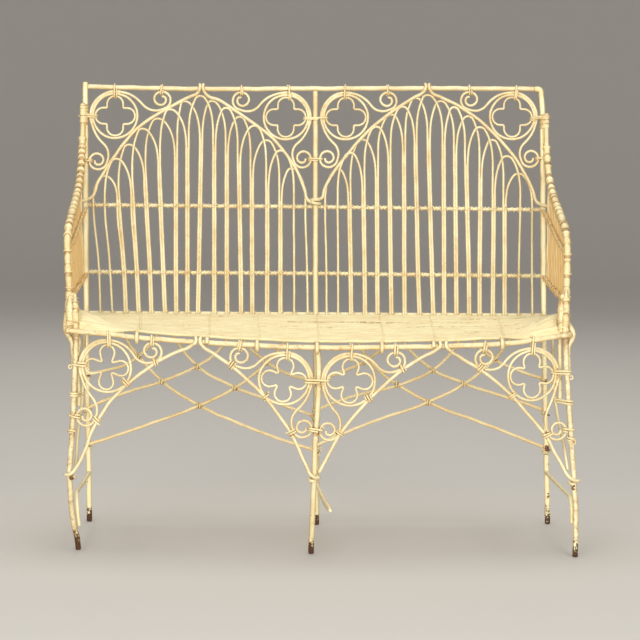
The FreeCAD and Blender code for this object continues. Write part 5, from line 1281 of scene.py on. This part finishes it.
def sleeve(skin, lo, hi, u, a, b, creases=(), slant=2.5, sides=28, groove=0.0, draw=0.0, base=0.0):
    """Wire wound close round two rods that lie side by side, painted over: an oval sleeve with rounded ends."""
    lo, hi, u = np.array(lo, float), np.array(hi, float), np.array(u, float)
    L = np.linalg.norm(hi - lo)
    w = (hi - lo) / L
    u = u - w * (u @ w)
    u = u / np.linalg.norm(u)
    v = np.cross(w, u)
    k = max(10, int(L / 1.2))
    at = np.linspace(0, L, k)
    C = lo[None] + w[None] * at[:, None]
    th = np.arange(sides) * 2 * math.pi / sides
    front = math.atan2(-v[1], -u[1])
    rnd = np.sqrt(np.clip(1 - (np.clip(5.0 - np.minimum(at, L - at), 0, 5.0) / 5.5) ** 2, 0.05, 1))
    if draw:
        rnd = rnd * np.clip(0.55 + 0.45 * at / draw, 0.55, 1.0)
    bump = 1.0 + 0.035 * waves(at, (15.0, 8.0, 5.0))
    near_cut = np.full((k, sides), 1e9)
    for c in creases:
        near_cut = np.minimum(near_cut, np.abs(at[:, None] - (c + slant * RNG.uniform(-1, 1) * np.cos(th - front)[None])))
    dip = 1.0 - 0.13 * np.clip(1.0 - near_cut / 1.6, 0, 1)
    f = (rnd * bump)[:, None] * dip
    # painted shade darkens each crease, and with a groove the valley between the two rods
    soil = np.clip(1.3 - near_cut / 1.5, 0, 1.15)
    side = groove * waves(at, (40.0, 23.0))[:, None] * 0.15 + np.cos(th)[None]
    valley = np.exp(-(side / 0.33) ** 2)
    if groove:
        f = f * (1.0 - groove * valley)
        soil = np.maximum(soil, 0.95 * np.exp(-(side / 0.16) ** 2) * (0.75 + 0.25 * waves(at, (19.0, 11.0))[:, None]))
    skin.loft(C, np.repeat(u[None], k, 0), np.repeat(v[None], k, 0), a * f, b * f, tone=0.5, soil=np.maximum(soil, base))


# dirt gathers at every tie, darkest just below it, where the darkening is painted shadow under the tie
for node, P, u, v, a, b in TIES:
    g = RNG.uniform(0.7, 1.3) if node in ("leg_ties", "apron_rib_ties", "front_rail_ties", "lattice_ties") else RNG.uniform(0.35, 1.0)
    GRIME_AND_SHADE.append((P[0], P[1], P[2] - (3.0 if node in ("leg_ties", "lattice_ties") else 0.0), a + (2.0 if node in ("back_rail_ties", "seat_rail_ties") else 8.0), g))
    if node == "side_rail_ties":
        if RNG.uniform() < 0.6:
            RUST.append((P[0], P[1], P[2] - 3.0, RNG.uniform(4.0, 6.0), RNG.uniform(0.6, 1.0)))
        continue
    if RNG.uniform() < 0.30:
        e = RNG.uniform(-1, 1)
        q = add(P, mul(u, e * a))
        RUST.append((q[0], q[1], q[2], RNG.uniform(5.0, 9.0), RNG.uniform(0.5, 0.9)))

FEET = {"left_rear_post": (29.0, 1.0), "right_rear_post": (36.0, 0.85), "centre_rear_post": (24.0, 1.0),
        "front_left_leg": (35.0, 1.1), "front_right_leg": (34.0, 0.85), "front_centre_leg": (28.0, 1.0)}


def feet(node, v):
    """Bare rusty iron at the ground."""
    if node not in FEET:
        return np.zeros(len(v))
    h, k = FEET[node]
    return np.clip(0.98 - v[:, 2] / h * 0.46, 0, 1) * k


# bare and rusty places that are not at a tie
RUST += [(-448.0, 214.0, 676.0, 10.0, 0.75), (-487.0, -206.0, 433.0, 9.0, 0.75), (497.0, -206.0, 431.0, 10.0, 0.8),
         (-483.0, 189.0, 316.0, 11.0, 1.0), (494.0, 189.0, 309.0, 12.0, 1.0), (498.0, 192.0, 240.0, 13.0, 1.3), (-482.0, 197.0, 168.0, 13.0, 1.2), (499.0, 195.0, 163.0, 15.0, 1.3),
         (-484.0, 200.0, 85.0, 9.0, 0.9), (500.0, 198.0, 130.0, 9.0, 1.0), (502.0, 199.0, 62.0, 13.0, 0.95), (497.0, 199.0, 40.0, 12.0, 0.8),
         (-486.0, -211.0, 148.0, 12.0, 1.2), (509.0, -213.0, 136.0, 13.0, 1.2), (506.0, -208.0, 101.0, 14.0, 1.2), (514.0, -212.0, 60.0, 10.0, 0.8)]
# browner ends of the front rail, painted shadow under those ends on the corner legs, and a few other dark spots
GRIME_AND_SHADE += [(-429.0, 190.0, 450.0, 24.0, 1.15), (-452.0, 214.0, 678.0, 22.0, 1.0), (-494.0, -214.0, 440.0, 16.0, 1.0), (497.0, -212.0, 436.0, 26.0, 1.0), (474.0, -212.0, 433.0, 26.0, 0.8), (-484.0, -200.0, 428.0, 19.0, 1.5), (493.0, -202.0, 424.0, 20.0, 1.5), (360.0, -232.0, 418.0, 60.0, 0.5)]

# streaks along some of the seat rods
for j, x0, x1, k in ((9, -70.0, 190.0, 0.85), (10, 100.0, 330.0, 0.6), (15, -150.0, 60.0, 0.6), (15, 180.0, 420.0, 0.75), (19, -420.0, -250.0, 0.55), (5, 250.0, 460.0, 0.7), (22, 300.0, 460.0, 0.6), (3, -300.0, -120.0, 0.5)):
    u = j / (SEAT_RODS - 1.0)
    GRIME_AND_SHADE += [(x, seat_y(x, u), seat_z(x, u), 14.0, k * RNG.uniform(0.9, 1.7)) for x in np.arange(x0, x1, 9.0)]

# ---------------------------------------------------------------- finish of each kind of piece
PAINT = painted("rod_paint_look", (0.805, 0.745, 0.482), (0.60, 0.415, 0.165))
# painted light: a lighter copy of the paint for the rear posts, the lattice and the stretchers, which stand in shade
BRIGHT = painted("rear_paint_look", (0.92, 0.825, 0.515), (0.70, 0.485, 0.195))
SEAT = painted("seat_paint_look", (0.77, 0.70, 0.425), (0.67, 0.505, 0.25), hollow=0.45)
# painted shade: a warmer, darker copy of the paint for the side bars, side rails and their ties
SIDE = painted("side_paint_look", (0.83, 0.70, 0.40), (0.66, 0.435, 0.17), hollow=0.30)
WIRE = painted("tie_wire_look", (0.84, 0.755, 0.465), (0.64, 0.45, 0.19), extra=-0.30)
BIND = painted("seat_wire_look", (0.87, 0.79, 0.49), (0.76, 0.58, 0.29), extra=-0.45, hollow=0.12)
LASH = painted("lashing_look", (0.83, 0.742, 0.445), (0.62, 0.425, 0.172), extra=0.04)

ROD_STYLE = {  # node: sides, wander
    "left_lancets_rear": (12, 0.14), "left_lancets_front": (12, 0.14), "right_lancets_rear": (12, 0.14), "right_lancets_front": (12, 0.14),
    "seat_rods": (10, 0.55), "back_quatrefoils": (10, 0.25), "apron_quatrefoils": (10, 0.25), "back_rings": (12, 0.3), "apron_rings": (12, 0.3),
    "back_scrolls": (12, 0.2), "apron_scrolls": (12, 0.2), "left_side_bars": (10, 0.5), "right_side_bars": (10, 0.5)}
# how far each piece leans to the warm colour: the side bars and side rails lean far, as painted shade of the side
# panels; the lattice leans warm, as painted shade under the seat; the rear posts are held pale and the stretchers below
# zero, as painted light against the shade they stand in
TONE = {"left_side_bars": 4.4, "right_side_bars": 4.4, "left_lower_side_rail": 2.2, "left_upper_side_rail": 2.2, "right_lower_side_rail": 2.2, "right_upper_side_rail": 2.2,
        "left_rear_post": 0.0, "right_rear_post": 0.0, "upper_back_rail": 0.0, "lower_back_rail": 0.0, "front_rail": 1.2,
        "left_lattice": 1.3, "right_lattice": 1.3, "left_stretcher": -0.8, "right_stretcher": -0.8, "centre_stretcher": -1.2}

SOILED = {"front_left_leg": 0.60, "front_right_leg": 0.55, "front_centre_leg": 0.22, "left_arm": 0.46, "right_arm": 0.46, "upper_back_rail": 0.05, "lower_back_rail": 0.05, "front_rail": 0.40,
          "left_lattice": 0.15, "right_lattice": 0.15, "left_rear_post": 0.05, "right_rear_post": 0.05, "left_stretcher": 0.05, "right_stretcher": 0.05, "centre_stretcher": 0.0,
          "apron_rib_1": 0.1, "apron_rib_2": 0.1, "apron_rib_3": 0.1, "apron_rib_4": 0.1}

REAR = {"left_rear_post", "right_rear_post", "left_lattice", "right_lattice", "left_stretcher", "right_stretcher", "centre_stretcher"}

BOUND = {"top_rail_ties", "back_post_ties", "back_rail_ties", "seat_rail_ties", "front_rail_ties", "apron_rib_ties", "leg_ties", "lattice_ties",
         "side_rail_ties", "arm_lashings", "seat_binding_wires"}


def pair_fill(skin, node):
    """Paint that has run together between the two rods of each pair."""
    U, W, S, apex = (BARS_L_U, BARS_L_W, BARS_L_S, APEX_L) if node.startswith("left") else (BARS_R_U, BARS_R_W, BARS_R_S, APEX_R)
    rear = node.endswith("rear")
    for i in range(2, 15):
        if (i % 2 == 0) != rear:
            continue
        n = 0.0 if rear else LANCET_LAYER
        zw, zu = rail_z(LOWER_Z, W[i]), rail_z(UPPER_Z, U[i])
        zt = min(apex[k - 1][1] - min(80.0, apex[k - 1][1] - zu - 12.0) for k in (i - 1, i + 1))
        pts = [B(S[i], LANCET_FOOT_Z, n), B(W[i], zw, n), B(U[i], zu, n)]
        if zt > zu + 10.0:
            pts.append(B(U[i] + (U[i] - W[i]) * (zt - zu) / (zu - zw) * 0.8, zt, n))
        # its warm tone paints the shade in the groove between the two rods
        skin.tube(sample(smooth(pts), 9.0), 1.35, sides=8, lumps=0.06, tone=1.4)


def hug_fill(skin, chart, c, R, sx, n):
    """The same between a ring and the scroll that lies on it."""
    rm = R + RING_D / 2
    pts = [chart(c[0] + sx * rm * math.cos(math.radians(t)), c[1] + rm * math.sin(math.radians(t)), n) for t in range(198, 77, -8)]
    skin.tube(np.array(pts), 1.9, sides=8, lumps=0.06, tone=0.6)


for node, rods in PARTS.items():
    if node in BOUND:
        continue
    sides, wander = ROD_STYLE.get(node, (12, 0.35))
    skin = Skin()
    for path, r, closed in rods:
        P = sample(path, 6.0 if r < 4 else 7.0)
        if node == "left_arm":
            # below the rail the arm comes back close beside the leg
            P[:, 0] = P[:, 0] + np.where(P[:, 1] < -150.0, 6.0 * np.exp(-((P[:, 2] - 424.0) / 14.0) ** 2) + 2.0 * np.clip((424.0 - P[:, 2]) / 20.0, 0, 1), 0.0)
        if closed:
            P = P[:-1] if np.linalg.norm(P[0] - P[-1]) < 0.6 else P
        if node in ("left_stretcher", "right_stretcher"):
            # pressed close to the rear post and to the front leg at its ends
            sx = math.copysign(1.0, P[0, 0])
            P[:, 0] = P[:, 0] + sx * (5.0 + 2.5 * np.clip(P[:, 1] / 200.0, 0, 1))
        if node == "centre_stretcher":
            r = r * (1.0 + 0.36 * np.clip((20.0 - P[:, 1]) / 150.0, 0, 1)) * (1.0 - 0.45 * np.clip((-160.0 - P[:, 1]) / 38.0, 0, 1) ** 2)
        if node in ("front_left_leg", "front_right_leg"):
            # drawn down at the top, where it goes in under the winding
            r = r * np.clip(0.5 + 0.5 * (P[:, 2].max() - P[:, 2]) / 22.0, 0.5, 1.0)
        tone = TONE[node] * RNG.uniform(0.7, 1.2) if node in TONE else None
        if node.endswith("side_bars"):
            # paler close to the rear post: the warm tone there, painted shade of the side panel, is eased off
            tone = tone * (1.0 - 0.85 * ease((P[:, 1].mean() - 110.0) / 60.0))
        skin.tube(P, r, closed, sides, wander, 0.016, tone=tone, soil=SOILED.get(node, 0.0))
    if node == "seat_rods":
        # a cord laid over the ends of the rods at each side
        for sx in (-1.0, 1.0):
            pts = []
            for u in np.linspace(0.0, 1.0, 60):
                x = sx * (481.0 - 9.0 * ease((u - 0.8) / 0.2))
                pts.append((x, seat_y(x, u), seat_z(x, u) + SEAT_ROD_D / 2 - 1.6))
            skin.tube(np.array(pts), 3.6, sides=12, lumps=0.08)
            pts = [(p[0] - sx * 3.0, p[1], p[2] - 3.6) for p in pts]
            skin.tube(np.array(pts), 3.4, sides=12, lumps=0.08)
            # the rods stand apart at the raised corner, with cord between them
            for j in range(22, 30):
                u = (j + 0.5) / (SEAT_RODS - 1.0)
                xs = np.linspace(418.0, 479.0 - 9.0 * ease((u - 0.8) / 0.2), 10)
                skin.tube(np.array([(sx * x, seat_y(sx * x, u), seat_z(sx * x, u) - 0.8) for x in xs]), np.linspace(2.0, 5.6, 10), sides=10, lumps=0.04)
            # rods pushed down on the front rail at the corner
            for dy, dz, r in ((-1.0, -3.0, 5.0), (-5.0, -8.0, 4.4), (-7.5, -12.0, 3.6), (6.0, -4.0, 5.0), (1.0, 2.0, 4.6)):
                xs = np.linspace(492.0 - abs(dz), 392.0 + 3.0 * dz, 14)
                line = [(sx * x, seat_y(sx * x, 1.0) + dy, seat_z(sx * x, 1.0) + dz * min(1.0, (x - 375.0) / 70.0)) for x in xs]
                skin.tube(np.array(line), r * np.clip(np.linspace(1.6, 0.35, 14), 0.3, 1.0), sides=10, lumps=0.05)
    if "lancets" in node:
        pair_fill(skin, node)
    if node == "back_scrolls":
        for i, c in enumerate(BACK_RINGS):
            hug_fill(skin, B, c, BACK_RING_R, 1 if i % 2 == 0 else -1, RIB_N)
    if node == "apron_scrolls":
        for i, c in enumerate(APRON_RINGS):
            hug_fill(skin, A, c, APRON_RING_R, 1 if i % 2 == 0 else -1, APRON_N)
    side = node.endswith("side_bars") or node.endswith("side_rail")
    skin.make(node + "_painted", node, "seat_paint" if node == "seat_rods" else "rod_paint", SEAT if node == "seat_rods" else SIDE if side else BRIGHT if node in REAR else PAINT)

# ---------------------------------------------------------------- ties
HOW = {  # turns, wire radius, pitch, longest loose end
    "top_rail_ties": (1.35, 1.85, 3.7, 2.5), "back_post_ties": (1.7, 1.75, 3.5, 2.5), "back_rail_ties": (1.5, 1.25, 2.6, 1.2), "seat_rail_ties": (1.3, 1.2, 2.5, 1.2),
    "front_rail_ties": (1.5, 1.9, 3.9, 3.0), "apron_rib_ties": (1.75, 1.95, 4.4, 4.5), "leg_ties": (1.45, 2.2, 4.6, 3.5), "lattice_ties": (1.8, 1.85, 4.2, 4.0),
    "side_rail_ties": (1.3, 1.0, 2.1, 1.0)}
skins = {}
for node, P, u, v, a, b in TIES:
    turns, r, pitch, loose = HOW[node]
    if node == "leg_ties" and P[2] > 470.0:
        # mostly sunk in the winding of the corner
        r, a, b = 1.0, a - 1.5, b - 0.5
    skin = skins.setdefault(node, Skin())
    # the side rail ties lean far to the warm colour, as painted shade of the side panels
    coil(skin, P, u, v, a, b, turns + RNG.uniform(-0.25, 0.35), r * RNG.uniform(0.94, 1.06), pitch * RNG.uniform(0.95, 1.2),
         phase=RNG.uniform(0.35, 0.65), tail=loose * RNG.uniform(0.5, 1.0), lean=RNG.uniform(-1.6, 1.6), tone=RNG.uniform(2.6, 4.6) if node == "side_rail_ties" else None)

# wire round the rear posts at the ends of the lattice rods
for node in ("left_lattice", "right_lattice"):
    for path, r, closed in PARTS[node]:
        for end in (path[0][1], path[-1][-1]):
            for post in (POST_L, POST_C, POST_R):
                if abs(end[0] - post_x(post, end[2])) < 20.0 and end[2] < 400.0:
                    z = end[2] - RNG.uniform(2.0, 7.0)
                    p = (post_x(post, z), post_y(post, z), z)
                    coil(skins["lattice_ties"], p, X1, Y1, POST_D / 2, POST_D / 2, RNG.uniform(1.3, 2.1), 1.9, 4.2, phase=RNG.uniform(0.3, 0.7), tail=4.0, lean=RNG.uniform(-2.5, 2.5))
                    # dirt, with painted shadow, just below the wire
                    GRIME_AND_SHADE.append((p[0], p[1], z - 5.0, 20.0, RNG.uniform(0.8, 1.3)))
                    RUST.append((p[0] + RNG.uniform(-3, 3), p[1] - 6.5, z - 9.0, RNG.uniform(9.0, 13.0), RNG.uniform(1.0, 1.4)))

# wire wound along the two rails of the back, from bar to bar
for name in ("upper_back_rail", "lower_back_rail"):
    line = sample(PARTS[name][0][0], 4.0)
    s = run_of(line)
    pace = 1.0 / 8.6 * (1.0 + 0.30 * waves(s, (120.0, 61.0, 33.0)))
    turns = np.concatenate([[0.0], np.cumsum(np.diff(s) * pace[1:])])
    helix(skins["back_rail_ties"], line, MID_RAIL_D / 2 + 0.75, 1.3, turns, phase=RNG.uniform(0, 6.28))
    # dark flecks under the wire
    for q in np.arange(12.0, s[-1], 31.0):
        p = np.array([np.interp(q + RNG.uniform(-6, 6), s, line[:, i]) for i in range(3)])
        GRIME_AND_SHADE.append((p[0], p[1], p[2] - 4.0, RNG.uniform(5.0, 9.0), RNG.uniform(0.6, 1.2)))
        if RNG.uniform() < 0.2:
            RUST.append((p[0], p[1] - 3.0, p[2] - 3.0, RNG.uniform(4.0, 6.0), RNG.uniform(0.6, 0.9)))

# lashing along the arms: fat painted beads of close turns, with painted shade darkening the crease between one and the
# next
skin = skins.setdefault("arm_lashings", Skin())
X3, Y3 = np.array(X1), np.array(Y1)
ARM_LINE = {name: sample(ARM_PATH[name], 3.0) for name in ("left", "right")}
CREASES = {
    "left": (820.2, 802.0, 791.5, 779.6, 765.5, 751.4, 738.6, 728.3, 718.3, 708.4, 699.8, 691.3, 683.9, 676.6, 669.3, 660.4, 650.5, 642.4, 627.5, 596.7, 573.1, 555.3, 523.9, 505.0, 481.0),
    "right": (807.3, 784.0, 769.0, 737.9, 721.5, 711.6, 703.9, 696.2, 686.9, 679.6, 672.3, 665.0, 655.2, 648.2, 639.0, 627.7, 617.3, 596.3, 582.1, 557.0, 533.4, 510.3, 484.0)}


def at_height(line, z):
    """Distance along a falling line at which it has come down to each height."""
    s = run_of(line)
    k = np.argsort(line[:, 2])
    return np.interp(z, line[k, 2], s[k])


def point_at(line, q):
    s = run_of(line)
    return np.array([np.interp(q, s, line[:, i]) for i in range(3)])


for name, top, low in (("left", 823.0, 449.0), ("right", 810.0, 462.0)):
    whole = ARM_LINE[name]
    a0, a1 = at_height(whole, top), at_height(whole, low)
    s = run_of(whole)
    line = np.vstack([point_at(whole, a0)[None], whole[(s > a0 + 0.5) & (s < a1 - 0.5)], point_at(whole, a1)[None]])
    cuts = at_height(whole, np.array(CREASES[name])) - a0
    mid = float(at_height(whole, 634.0) - a0)
    q = run_of(line)
    beaded(skin, line[q <= mid], cuts[cuts < mid - 4.0], ARM_D / 2 + 0.4, 1.9, slant=5.0, ends=(0.75, 1.0), power=0.5, lip=1.8, shade=(12.6, 3.2), taper=0.95, hold=0.10, slope=0.7, rim=1.9)
    beaded(skin, line[q >= mid - 4.0], cuts[cuts > mid + 3.0] - mid + 4.0, ARM_D / 2, 1.9, slant=3.6, ends=(1.0, 0.85))
    # a proud ring of wire at some of the creases down the front
    for z in ((627.5, 596.7, 555.3, 523.9) if name == "left" else (596.3, 557.0, 510.3)):
        q = at_height(whole, z)
        p, d = point_at(whole, q), point_at(whole, q + 2.0) - point_at(whole, q - 2.0)
        d = d / np.linalg.norm(d)
        u = np.cross(d, X3)
        u = u / np.linalg.norm(u)
        coil(skin, p - d * 2.0, u, np.cross(d, u), ARM_D / 2 + 0.4, ARM_D / 2 + 0.4, 1.15, 1.5, 2.0, tail=1.2, lean=RNG.uniform(-2.0, 2.0))
        # dirt, with painted shadow, just below the ring
        GRIME_AND_SHADE.append((p[0], p[1], p[2] - 3.0, 8.0, 1.0))

# where the top of an arm is bound to its post
for name, post, z0, z1, cuts in (("left", POST_L, 894.0, 846.0, (3.5, 11.0, 29.0, 42.0)), ("right", POST_R, 878.5, 845.0, (4.0, 13.0, 24.0))):
    line = ARM_LINE[name]
    ends = []
    for z in (z0, z1):
        p = point_at(line, max(0.0, at_height(line[:40], z)))
        q = np.array((post_x(post, z), post_y(post, z), z))
        ends.append((p[0] * 0.5 + q[0] * 0.5, p[1] * 0.5 + q[1] * 0.5, z))
    z = (z0 + z1) / 2
    p = point_at(line, at_height(line[:40], z))
    q = np.array((post_x(post, z), post_y(post, z), z))
    gap = np.linalg.norm((p - q)[:2])
    sleeve(skin, ends[0], ends[1], (p - q), gap / 2 + POST_D / 2 + 1.4, POST_D / 2 + 2.2, cuts)
    RUST.append((ends[0][0], ends[0][1] - 8.0, z0 - 1.0, 6.0, 0.8))
    fill = []
    for z in np.linspace(z1 + 6.0, 812.0, 10):
        p = point_at(line, at_height(line[:60], z))
        fill.append((p[0] * 0.5 + post_x(post, z) * 0.5, p[1] * 0.5 + post_y(post, z) * 0.5 - 0.5, z))
    skin.tube(np.array(fill), 4.4, sides=12, lumps=0.06)

# corners of the seat: arm and leg wound together and painted over, with slanting turns round both
for name, leg, z0, z1, x0, a, cuts, marks in (("left", LEG_L, 516.0, 441.0, -487.4, 12.9, (3.0, 52.0), (10.0, 24.0, 50.0)), ("right", LEG_R, 520.0, 441.0, 487.6, 12.2, (9.0, 61.0), (16.0, 40.0))):
    sleeve(skin, (x0 + (1.5 if name == "left" else -1.0), -193.4, z0), (x0, -193.6, z1), X3, a, 10.4, cuts, slant=5.0, groove=0.20, draw=26.0, base=0.4)
    line = sample(smooth(leg, None, DOWN), 4.0)
    a0, a1 = at_height(line, leg[0][2] - 2.0), at_height(line, 430.0)
    part = np.array([point_at(line, q) for q in np.linspace(a0, a1, 30)])
    beaded(skin, part[4:], np.array(marks), LEG_D / 2 + 0.4, 1.9, slant=8.0, ends=(0.55, 0.85), base=0.5, shade=(1.8, 2.2))
    for z, lean, r, turns in ((z1 + 14.0, 5.0, 1.6, 0.7),):
        coil(skin, (x0, -193.6, z), X3, Y3, a - 0.9, 9.7, turns, r, 4.0, phase=0.15 + RNG.uniform(0, 0.25), tail=1.0, lean=lean)
        # dirt, with painted shadow, just below the turn
        GRIME_AND_SHADE.append((x0 + RNG.uniform(-5, 5), -203.0, z - 4.0, 8.0, RNG.uniform(0.8, 1.2)))

# paint built up on the two cut ends of the front rail
for p, q in (((-499.5, -209.7, 443.0), (-486.5, -210.8, 442.0)), ((503.5, -210.0, 439.7), (489.5, -210.5, 438.2))):
    sleeve(skin, p, q, np.array((0.0, 0.0, 1.0)), FRONT_RAIL_D / 2 + 1.1, FRONT_RAIL_D / 2 + 0.9, (10.5,), slant=3.0)

# loose eyes of thick wire left standing at some leg ties
skin = skins["leg_ties"]
for p, rad, r, tip in (((-490.0, -199.0, 370.0), 3.4, 1.45, 0.3), ((503.0, -199.0, 354.0), 3.4, 1.45, -0.3), ((506.5, -203.0, 225.0), 6.2, 1.9, 0.5), ((-476.0, -203.0, 396.0), 2.8, 1.3, 0.2)):
    t = np.linspace(0, 2 * math.pi, 25)[:-1]
    ring3 = np.array(p)[None] + rad * (np.cos(t)[:, None] * X3[None] + np.sin(t)[:, None] * np.array((0.0, -tip, 1.0))[None])
    skin.tube(ring3, r, True, 8, 0.0, 0.05)

# wire that binds each seat rod down to the bearers
skin = skins.setdefault("seat_binding_wires", Skin())
for x in BEARER_X:
    pts = []
    for j in range(SEAT_RODS):
        u = j / (SEAT_RODS - 1.0)
        for du, up in ((-0.5, -1.2), (-0.22, 2.6), (0.0, SEAT_ROD_D / 2 - 0.1), (0.22, 2.6)):
            uu = u + du / (SEAT_RODS - 1.0)
            xx = bearer_x(x, uu) + 5.0 + 0.6 * math.sin(2.3 * j + x)
            pts.append((xx, seat_y(xx, uu), seat_z(xx, uu) + up))
    skin.tube(np.array(pts), 1.1, sides=7, lumps=0.05, cap=0.8)

for node, skin in skins.items():
    skin.make(node + "_wire", node, "tie_wire", SIDE if node == "side_rail_ties" else LASH if node == "arm_lashings" else BIND if node == "seat_binding_wires" else WIRE)


# ---------------------------------------------------------------- floor, light and camera
def dish():
    """A round pale floor that curves up all round, far from the bench."""
    prof = [(0.0, 0.0), (2.0, 0.0), (5.0, 0.0), (9.0, 0.0)]
    prof += [(9.0 + 4.0 * math.sin(a), 4.0 - 4.0 * math.cos(a)) for a in np.linspace(0.08, math.pi / 2, 18)] + [(13.0, 7.5)]
    n = 96
    verts, faces = [(0.0, 0.0, -0.0005)], []
    for r, z in prof[1:]:
        verts += [(r * math.cos(2 * math.pi * k / n), r * math.sin(2 * math.pi * k / n), z - 0.0005) for k in range(n)]
    for k in range(n):
        faces.append((0, 1 + k, 1 + (k + 1) % n))
    for i in range(len(prof) - 2):
        for k in range(n):
            a, b = 1 + i * n + k, 1 + i * n + (k + 1) % n
            faces.append((a, a + n, b + n, b))
    mesh = bpy.data.meshes.new("pale_floor")
    mesh.from_pydata(verts, [], faces)
    mesh.polygons.foreach_set("use_smooth", [True] * len(mesh.polygons))
    obj = bpy.data.objects.new("pale_floor", mesh)
    bpy.context.scene.collection.objects.link(obj)
    m = bpy.data.materials.new("pale_floor")
    m.use_nodes = True
    b = m.node_tree.nodes["Principled BSDF"]
    b.inputs["Base Color"].default_value = (0.61, 0.59, 0.565, 1.0)
    b.inputs["Roughness"].default_value = 0.8
    mesh.materials.append(m)
    obj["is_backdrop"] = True


dish()


def softbox(name, place, aim, size, power, colour=(1.0, 0.978, 0.925)):
    d = bpy.data.lights.new(name, "AREA")
    d.shape = "RECTANGLE"
    d.size, d.size_y = size
    d.energy = power
    d.color = colour
    o = bpy.data.objects.new(name, d)
    o.location = place
    o.rotation_euler = (Vector(aim) - Vector(place)).to_track_quat("-Z", "Y").to_euler()
    bpy.context.scene.collection.objects.link(o)


softbox("key_left", (-1.7, -4.9, 2.5), (0.0, 0.0, 0.5), (1.6, 1.6), 64.0)
softbox("key_right", (1.9, -4.8, 2.3), (0.0, 0.0, 0.5), (1.6, 1.6), 58.0)
softbox("low_front", (0.0, -5.6, 0.75), (0.0, 0.0, 0.4), (3.0, 1.0), 198.0)
softbox("overhead", (0.0, 0.3, 4.6), (0.0, 0.0, 0.4), (3.0, 3.0), 86.0)
softbox("back_fill", (0.0, 5.0, 3.4), (0.0, 0.0, 0.5), (3.0, 2.0), 28.0)

world = bpy.data.worlds.new("studio")
bpy.context.scene.world = world
world.use_nodes = True
world.node_tree.nodes["Background"].inputs["Color"].default_value = (0.98, 0.955, 0.90, 1.0)
world.node_tree.nodes["Background"].inputs["Strength"].default_value = 0.43
bpy.context.scene.view_settings.view_transform = "Standard"

tilt, yaw, roll = math.atan(190.0 / 2600.0), math.radians(0.934), math.radians(0.40)
fw = Vector((math.sin(yaw) * math.cos(tilt), math.cos(yaw) * math.cos(tilt), -math.sin(tilt)))
rt = Vector((math.cos(yaw), -math.sin(yaw), 0.0))
up = Vector((math.sin(yaw) * math.sin(tilt), math.cos(yaw) * math.sin(tilt), math.cos(tilt)))
right = rt * math.cos(roll) + up * math.sin(roll)
above = up * math.cos(roll) - rt * math.sin(roll)
cam = bpy.data.cameras.new("camera")
cam.sensor_width = 36.0
cam.lens = 36.0 * 2600.0 / 640.0
cam.clip_end = 100.0
eye = bpy.data.objects.new("camera", cam)
spot = Vector((-0.08, -5.33, 0.8407)) + Vector(SHIFT / 1000.0)
eye.matrix_world = Matrix(((right.x, above.x, -fw.x, spot.x), (right.y, above.y, -fw.y, spot.y), (right.z, above.z, -fw.z, spot.z), (0.0, 0.0, 0.0, 1.0)))
bpy.context.scene.collection.objects.link(eye)
bpy.context.scene.camera = eye

low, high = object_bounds()
